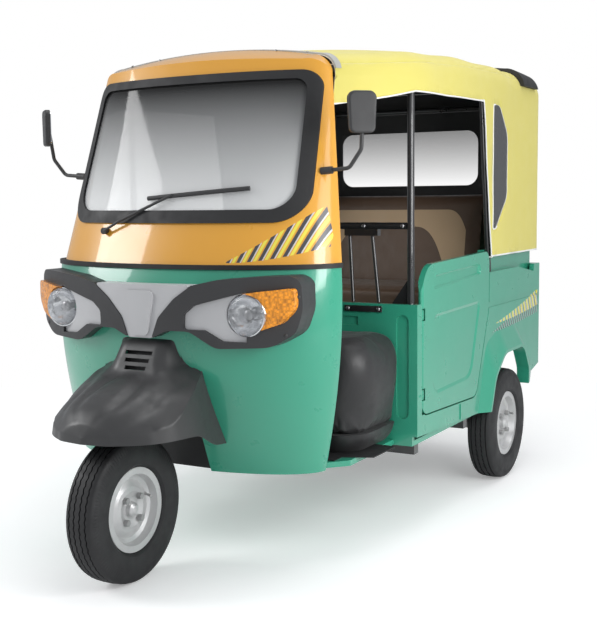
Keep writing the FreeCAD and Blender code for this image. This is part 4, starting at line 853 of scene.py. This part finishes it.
def top_height(x, behind, half, spine, crease):
    """Height of the top over a point of the plan: a dome with two channels, and the neck."""
    share = abs(x) / max(half, 1.0)
    fade = min(1.0, half / 90)
    first = 0.24 + 0.16 * min(1.0, max(0.0, (60 - behind) / 220))
    second = 0.66 + 0.16 * ((behind + 20) / 150) ** 2
    channels = math.exp(-((share - first) / 0.11) ** 2) + math.exp(-((share - second) / 0.10) ** 2)
    length = math.sin(math.pi * min(1.0, max(0.0, (behind + 205) / 350)))
    crown = crease + (spine - crease) * fade * (1 - share ** 2.6)
    crown -= CHANNEL_DEPTH * length * channels * fade
    neck = neck_height(x, behind)
    near = max(NECK_BLEND - abs(crown - neck), 0.0) / NECK_BLEND
    return min(max(crown, neck) + NECK_BLEND / 4 * near * near, GUARD_NECK[-1][0])


def guard_rows():
    """Rows of points from edge to edge over the mudguard, in the vehicle's millimetres."""
    last = len(SKIRT_LOW) - 1.0
    rows = []
    for i in range(ROWS_ALONG + 1):
        t = last * i / ROWS_ALONG
        behind = skirt_at(t, 540)[1]
        for _ in range(4):
            _, spine, crease = row_at(TOP_ROWS, behind)
            half, behind = skirt_at(t, crease)
        top = []
        for j in range(-ROWS_ACROSS, ROWS_ACROSS + 1):
            x = half * j / ROWS_ACROSS
            top.append((x, behind, top_height(x, behind, half, spine, crease)))
        side = []
        edge = row_at(EDGE_ROWS, behind)[1]
        for k in range(1, ROWS_DOWN + 1):
            z = crease + (min(edge, crease - 2) - crease) * k / ROWS_DOWN
            x, place = skirt_at(t, z)
            side.append((x, place, z))
        rows.append([(-x, y, z) for x, y, z in reversed(side)] + top + side)
    return rows


def mudguard():
    """The moulding, cut off where it passes into the cab's shell, with its wall and vents."""
    shell = BVHTree.FromBMesh(node_copy("front_shell_lower"))
    rows = []
    bm = bmesh.new()
    behind_shell = set()
    for row in guard_rows():
        made = []
        for x, behind, z in row:
            place = Vector((x, 1000 * FRONT_AXLE_Y + behind, z)) / 1000
            hit = shell.ray_cast(Vector((place.x, -2.0, place.z)), Vector((0, 1, 0)))[0]
            v = bm.verts.new(place)
            if hit is not None and place.y > hit.y - GUARD_CLEAR:
                behind_shell.add(v)
                v.co.y = hit.y - GUARD_CLEAR
            made.append(v)
        rows.append(made)
    for a, b in zip(rows, rows[1:]):
        for k in range(len(a) - 1):
            corners = (a[k], a[k + 1], b[k + 1], b[k])
            if not all(v in behind_shell for v in corners):
                bm.faces.new(corners)
    bmesh.ops.delete(bm, geom=[v for v in bm.verts if not v.link_faces], context="VERTS")
    bmesh.ops.remove_doubles(bm, verts=bm.verts, dist=3e-4)
    bmesh.ops.dissolve_degenerate(bm, dist=1e-5, edges=bm.edges)
    bmesh.ops.recalc_face_normals(bm, faces=bm.faces)
    if sum(f.normal.z for f in bm.faces) < 0:
        bmesh.ops.reverse_faces(bm, faces=bm.faces)
    mesh = mesh_from(bm, "mudguard_moulding")
    piece = settle("mudguard_moulding", mesh, guard_plastic, "body", 50)
    wall = piece.modifiers.new("wall", "SOLIDIFY")
    wall.thickness = GUARD_WALL
    wall.offset = -1.0
    cut_vents(piece)
    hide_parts("front_mudguard")


def cut_vents(piece):
    """Cuts the vents through the neck's face and closes them behind with a dark leaning plate, a painted
    shade for the dark hollow inside the neck.
    """
    bm = bmesh.new()
    for half, low in VENTS:
        foot = (-half / 1000, y_at(0.050), low / 1000)
        head = (half / 1000, y_at(0.130), (low + VENT_H) / 1000)
        slab(bm, foot, head)
    cutter = bpy.data.objects.new("vent_cutter", mesh_from(bm, "vent_cutter"))
    bpy.context.scene.collection.objects.link(cutter)
    cut = piece.modifiers.new("vents", "BOOLEAN")
    cut.operation = "DIFFERENCE"
    cut.solver = "EXACT"
    cut.object = cutter
    bpy.context.view_layer.update()
    apply_all(piece)
    bpy.data.objects.remove(cutter, do_unlink=True)
    piece.data.set_sharp_from_angle(angle=math.radians(40))

    # Painted shade: a dark plate behind the vents stands for the shade inside the neck.
    def back(bm):
        foot = 0.716
        slab(bm, (-0.066, y_at(0.098), foot), (0.066, y_at(0.101), 0.790))
        for v in bm.verts:
            v.co.y += 0.40 * (v.co.z - foot)

    new_piece("vent_shade_plate", back, black_rubber, "body", 30)


# Fasteners and fittings


def hit_on(node, start, way):
    """Where a ray meets a CAD node, and the face's normal there."""
    tree = BVHTree.FromBMesh(node_copy(node))
    place, normal, _, _ = tree.ray_cast(Vector(start), Vector(way).normalized())
    return place, normal


def lathe(bm, place, way, profile, steps):
    """Turns (along, radius) pairs about a line through place."""
    way = Vector(way).normalized()
    side = way.orthogonal().normalized()
    ring = [bm.verts.new(Vector(place) + way * a + side * r) for a, r in profile]
    edges = [bm.edges.new(pair) for pair in zip(ring, ring[1:])]
    bmesh.ops.spin(bm, geom=ring + edges, cent=Vector(place), axis=way,
                   angle=2 * math.pi, steps=steps, use_merge=True)


# How far a head reaches into what it stands on
SUNK = -0.001


def dome(radius, height):
    """Profile of a round head."""
    rise = [(SUNK, radius), (0.3 * height, radius), (0.75 * height, 0.75 * radius)]
    return rise + [(height, 0.35 * radius), (height, 0.0)]


def hexagon(radius, height):
    """Profile of a nut's or bolt's head, turned in six steps."""
    return [(SUNK, radius), (0.85 * height, radius), (height, 0.86 * radius), (height, 0.0)]


def heads(name, spots, finish, profile):
    """Fastener heads of one form on the body, at several (place, way) spots."""
    def make(bm):
        for place, way in spots:
            lathe(bm, place, way, profile, 16)

    new_piece(name, make, finish, "body", 40)


def slab(bm, low, high, bevel=0.0):
    """Plate between two corners, its edges softened by bevel."""
    made = bmesh.ops.create_cube(bm, size=1.0)
    size = Vector(high) - Vector(low)
    for v in made["verts"]:
        v.co = Vector(low) + Vector([(c + 0.5) * s for c, s in zip(v.co, size)])
    if bevel:
        edges = list({e for v in made["verts"] for e in v.link_edges})
        bmesh.ops.bevel(bm, geom=edges, offset=bevel, segments=2, affect="EDGES", profile=0.5)


def roof_rivets():
    """Seven rivets across the strip that holds the canopy to the cab."""
    spots = []
    for i in range(-3, 4):
        place, normal = hit_on("canopy_front_strip", (0.13 * i, y_at(0.622), 2.2), (0, 0, -1))
        if place:
            spots.append((place, normal))
    heads("roof_rivets", spots, screw_metal, dome(0.0055, 0.003))


def mask_screws():
    """Two screws at each outer end of the lamp mask."""
    spots = []
    for s in (-1, 1):
        for x, z in ((0.549, 0.975), (0.512, 0.846)):
            place, normal = hit_on("headlamp_mask", (s * x, y_at(-0.2), z), (0, 1, 0))
            if place:
                spots.append((place, normal))
    heads("mask_screws", spots, dark_plastic, dome(0.007, 0.003))


# Studs' circle and the height of the hub's face; place, turn and section of the valve
STUD_CIRCLE = 0.054
STUD_FACE = 0.030
VALVE_CIRCLE = 0.096
VALVE_FACE = 0.016
VALVE_TURN = 0.35
VALVE = ((0.0, 0.0055), (0.012, 0.0045), (0.030, 0.0042), (0.034, 0.0050), (0.040, 0.0050), (0.042, 0.0))


def wheel_nuts(name, centre_x, centre_y, side, body):
    """Four nuts over the CAD's studs, and the tyre valve near the rim."""
    centre = Vector((centre_x, centre_y, TYRE_R))

    def on_wheel(face, circle, angle):
        return centre + Vector((side * face, circle * math.cos(angle), circle * math.sin(angle)))

    def make(bm):
        for i in range(4):
            stud = on_wheel(STUD_FACE, STUD_CIRCLE, math.pi / 4 + i * math.pi / 2)
            lathe(bm, stud, (side, 0, 0), hexagon(0.0125, 0.0145), 6)
        lathe(bm, on_wheel(VALVE_FACE, VALVE_CIRCLE, VALVE_TURN), (side, -0.35, -0.1), VALVE, 12)

    new_piece(name, make, nut_metal, body, 40)


# Headlamps: a bowl with its rim, a bulb in its holder and a clear ribbed lens

# A lamp's front as (side, behind, height), its rim, and sections as (forward, radius)
LAMP = (0.394, 0.152, 0.914)
LAMP_R = 0.0727
LENS_R = LAMP_R - 0.004
BOWL = (
    (-0.150, 0.0), (-0.150, LAMP_R), (-0.020, LAMP_R), (-0.016, LAMP_R - 0.001),
    (-0.014, LAMP_R - 0.004), (-0.018, LAMP_R - 0.006), (-0.030, LAMP_R - 0.010),
    (-0.050, LAMP_R - 0.026), (-0.066, 0.026), (-0.072, 0.016), (-0.072, 0.0),
)
BULB = ((-0.073, 0.013), (-0.060, 0.013), (-0.052, 0.009), (-0.030, 0.009), (-0.022, 0.0))
BULB_CAP = ((-0.034, 0.017), (-0.018, 0.017), (-0.014, 0.010), (-0.014, 0.0))
BULB_CAP_BACK = Vector((0, 0.012, 0))
LENS = ((-0.016, LENS_R), (-0.010, LENS_R - 0.002), (-0.004, 0.052), (0.0, 0.026), (0.001, 0.0))


def headlamp_parts():
    """Both lamps' bowls, bulbs and lenses, each kind as one piece."""
    spots = [Vector((s * LAMP[0], y_at(LAMP[1]), LAMP[2])) for s in (-1, 1)]
    ahead = (0, -1, 0)

    def bowls(bm):
        for spot in spots:
            lathe(bm, spot, ahead, BOWL, 40)

    def bulbs(bm):
        for spot in spots:
            lathe(bm, spot, ahead, BULB, 20)
            lathe(bm, spot + BULB_CAP_BACK, ahead, BULB_CAP, 24)

    def glasses(bm):
        for spot in spots:
            lathe(bm, spot, ahead, LENS, 40)

    housing = new_piece("headlamp_bowls", bowls, reflector, "body", 30)
    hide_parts("headlamps")
    new_piece("headlamp_bulbs", bulbs, screw_metal, "body", 35)
    new_piece("headlamp_lenses", glasses, clear_lens, "body", 60)


# Floor mats: underside, just clear of the floor pan, and top
MAT_FOOT = 0.3652
MAT_TOP = 0.3690
# Left edge of the driver's mat as (side, behind), from the cab's shell out to the doorway
MAT_EDGE = ((0.545, 0.50), (0.545, 0.565), (0.65, 0.612), (0.65, 0.80))


def floor_covering():
    """Rubber mats on the driver's floor, out to both doorways, and before the bench."""
    def mats(bm):
        outline = list(MAT_EDGE) + [(-x, b) for x, b in reversed(MAT_EDGE)]
        foot = bm.faces.new([bm.verts.new((x, y_at(b), MAT_FOOT)) for x, b in outline])
        made = bmesh.ops.extrude_face_region(bm, geom=[foot])["geom"]
        for v in made:
            if isinstance(v, bmesh.types.BMVert):
                v.co.z = MAT_TOP
        slab(bm, (-0.66, y_at(0.945), MAT_FOOT), (0.66, y_at(1.618), MAT_TOP), 0.001)

    new_piece("floor_mats", mats, black_rubber, "body", 30)


def stay_foot():
    """Strip with two bolts that holds the partition stays to the bulkhead."""
    y = y_at(0.915)

    def strip(bm):
        slab(bm, (0.385, y - 0.007, 0.858), (0.545, y - 0.0005, 0.882), 0.002)

    new_piece("stay_foot", strip, enamel_black, "body", 30)
    spots = [(Vector((x, y - 0.007, 0.870)), (0, -1, 0)) for x in (0.400, 0.530)]
    spots += [(Vector((x, y_at(0.942) - 0.0128, 1.188)), (0, -1, 0)) for x in (0.46, 0.622)]
    heads("stay_bolts", spots, screw_metal, dome(0.008, 0.005))


def hinge_bolts():
    """Two small bolts on the body's leaf of each door hinge."""
    spots = []
    for z in (0.52, 0.83):
        for dy in (-0.030, -0.018):
            spots.append((Vector((BODY_SIDE, y_at(0.966) + dy, z + 0.018)), (1, 0, 0)))
    heads("hinge_bolts", spots, enamel_green, dome(0.004, 0.0025))


# Camera, lights and ground


def look(name, place, azimuth, elevation, roll, lens_mm):
    """Camera at a place, looking back along an azimuth and elevation, with a small roll."""
    a = math.radians(azimuth)
    e = math.radians(elevation)
    back = Vector((math.sin(a) * math.cos(e), -math.cos(a) * math.cos(e), math.sin(e)))
    camera = bpy.data.objects.new(name, bpy.data.cameras.new(name))
    turn = back.to_track_quat("Z", "Y").to_matrix() @ Matrix.Rotation(math.radians(roll), 3, "Z")
    camera.matrix_world = Matrix.Translation(place) @ turn.to_4x4()
    camera.data.lens = lens_mm
    camera.data.sensor_width = 36.0
    camera.data.clip_end = 100.0
    bpy.context.scene.collection.objects.link(camera)
    bpy.context.scene.camera = camera


def soft_light(name, place, aim, size, power):
    data = bpy.data.lights.new(name, "AREA")
    data.shape = "RECTANGLE"
    data.size, data.size_y = size
    data.energy = power
    lamp = bpy.data.objects.new(name, data)
    way = Vector(aim) - Vector(place)
    lamp.matrix_world = Matrix.Translation(place) @ way.to_track_quat("-Z", "Y").to_matrix().to_4x4()
    bpy.context.scene.collection.objects.link(lamp)


def studio_world():
    """Soft room light; the camera, and what is seen through glass, gets a white room."""
    world = bpy.data.worlds.new("studio")
    bpy.context.scene.world = world
    world.use_nodes = True
    tree = world.node_tree
    tree.nodes.clear()
    path = tree.nodes.new("ShaderNodeLightPath")
    seen = tree.nodes.new("ShaderNodeMath")
    seen.operation = "MAXIMUM"
    tree.links.new(path.outputs["Is Camera Ray"], seen.inputs[0])
    tree.links.new(path.outputs["Is Transmission Ray"], seen.inputs[1])
    room = tree.nodes.new("ShaderNodeBackground")
    room.inputs["Color"].default_value = (0.93, 0.96, 1.0, 1)
    room.inputs["Strength"].default_value = 0.50
    white = tree.nodes.new("ShaderNodeBackground")
    white.inputs["Color"].default_value = (1, 1, 1, 1)
    blend = tree.nodes.new("ShaderNodeMixShader")
    tree.links.new(seen.outputs[0], blend.inputs[0])
    tree.links.new(room.outputs[0], blend.inputs[1])
    tree.links.new(white.outputs[0], blend.inputs[2])
    out = tree.nodes.new("ShaderNodeOutputWorld")
    tree.links.new(blend.outputs[0], out.inputs["Surface"])


def ground():
    """Pale floor that keeps the vehicle's shadow and fades into the white room."""
    bm = bmesh.new()
    bmesh.ops.create_grid(bm, x_segments=1, y_segments=1, size=30.0)
    floor = bpy.data.objects.new("floor", mesh_from(bm, "floor"))
    bpy.context.scene.collection.objects.link(floor)
    finish = Finish("floor_white", (0.93, 0.93, 0.93), 0.9)
    path = finish.add("ShaderNodeLightPath").outputs["Is Camera Ray"]
    finish.set("Emission Color", (1, 1, 1, 1))
    finish.wire(finish.calc("MULTIPLY", path, 0.28), "Emission Strength")
    where = finish.place()[0]
    reach = finish.add("ShaderNodeVectorMath", {0: where}, operation="LENGTH").outputs["Value"]
    far = finish.calc("MULTIPLY", finish.between(reach, 1.8, 3.6), path)
    glow = finish.add("ShaderNodeEmission", {"Color": (1, 1, 1, 1), "Strength": 1.0}).outputs[0]
    blend = finish.add("ShaderNodeMixShader", {0: far}).inputs
    finish.tree.links.new(finish.shader.outputs[0], blend[1])
    finish.tree.links.new(glow, blend[2])
    out = finish.tree.nodes["Material Output"]
    finish.tree.links.new(blend[0].node.outputs[0], out.inputs["Surface"])
    floor.data.materials.append(finish.material)


# The added pieces, then the camera, floor and lights

cloth_piece("canopy_roof_cloth", "canopy_roof")
canopy_sides = cloth_piece("canopy_side_cloth", "canopy")
bind_edge(canopy_sides, "canopy_binding")
mudguard()
roof_rivets()
mask_screws()
wheel_nuts("front_wheel_nuts", 0.0, FRONT_AXLE_Y, 1, "front_wheel")
wheel_nuts("rear_left_wheel_nuts", REAR_WHEEL_X, REAR_AXLE_Y, 1, "rear_wheel_left")
wheel_nuts("rear_right_wheel_nuts", -REAR_WHEEL_X, REAR_AXLE_Y, -1, "rear_wheel_right")
headlamp_parts()
floor_covering()
stay_foot()
hinge_bolts()

look("photo_camera", (2.3115, -4.0272, 1.3068), 29.2, 6.5, -0.7, 61.7)
studio_world()
ground()
soft_light("key", (-4.6, -3.2, 3.4), (0, -0.3, 0.8), (2.4, 2.4), 150)
soft_light("side_fill", (5.2, -0.6, 2.4), (0.5, 0.1, 0.8), (3.0, 2.5), 75)
soft_light("cabin_fill", (1.9, -0.9, 1.35), (0, 0.9, 1.1), (0.7, 0.7), 14)
soft_light("top", (0.4, 0.5, 5.0), (0, 0.2, 1), (3.0, 3.5), 85)
bpy.context.scene.view_settings.view_transform = "Standard"
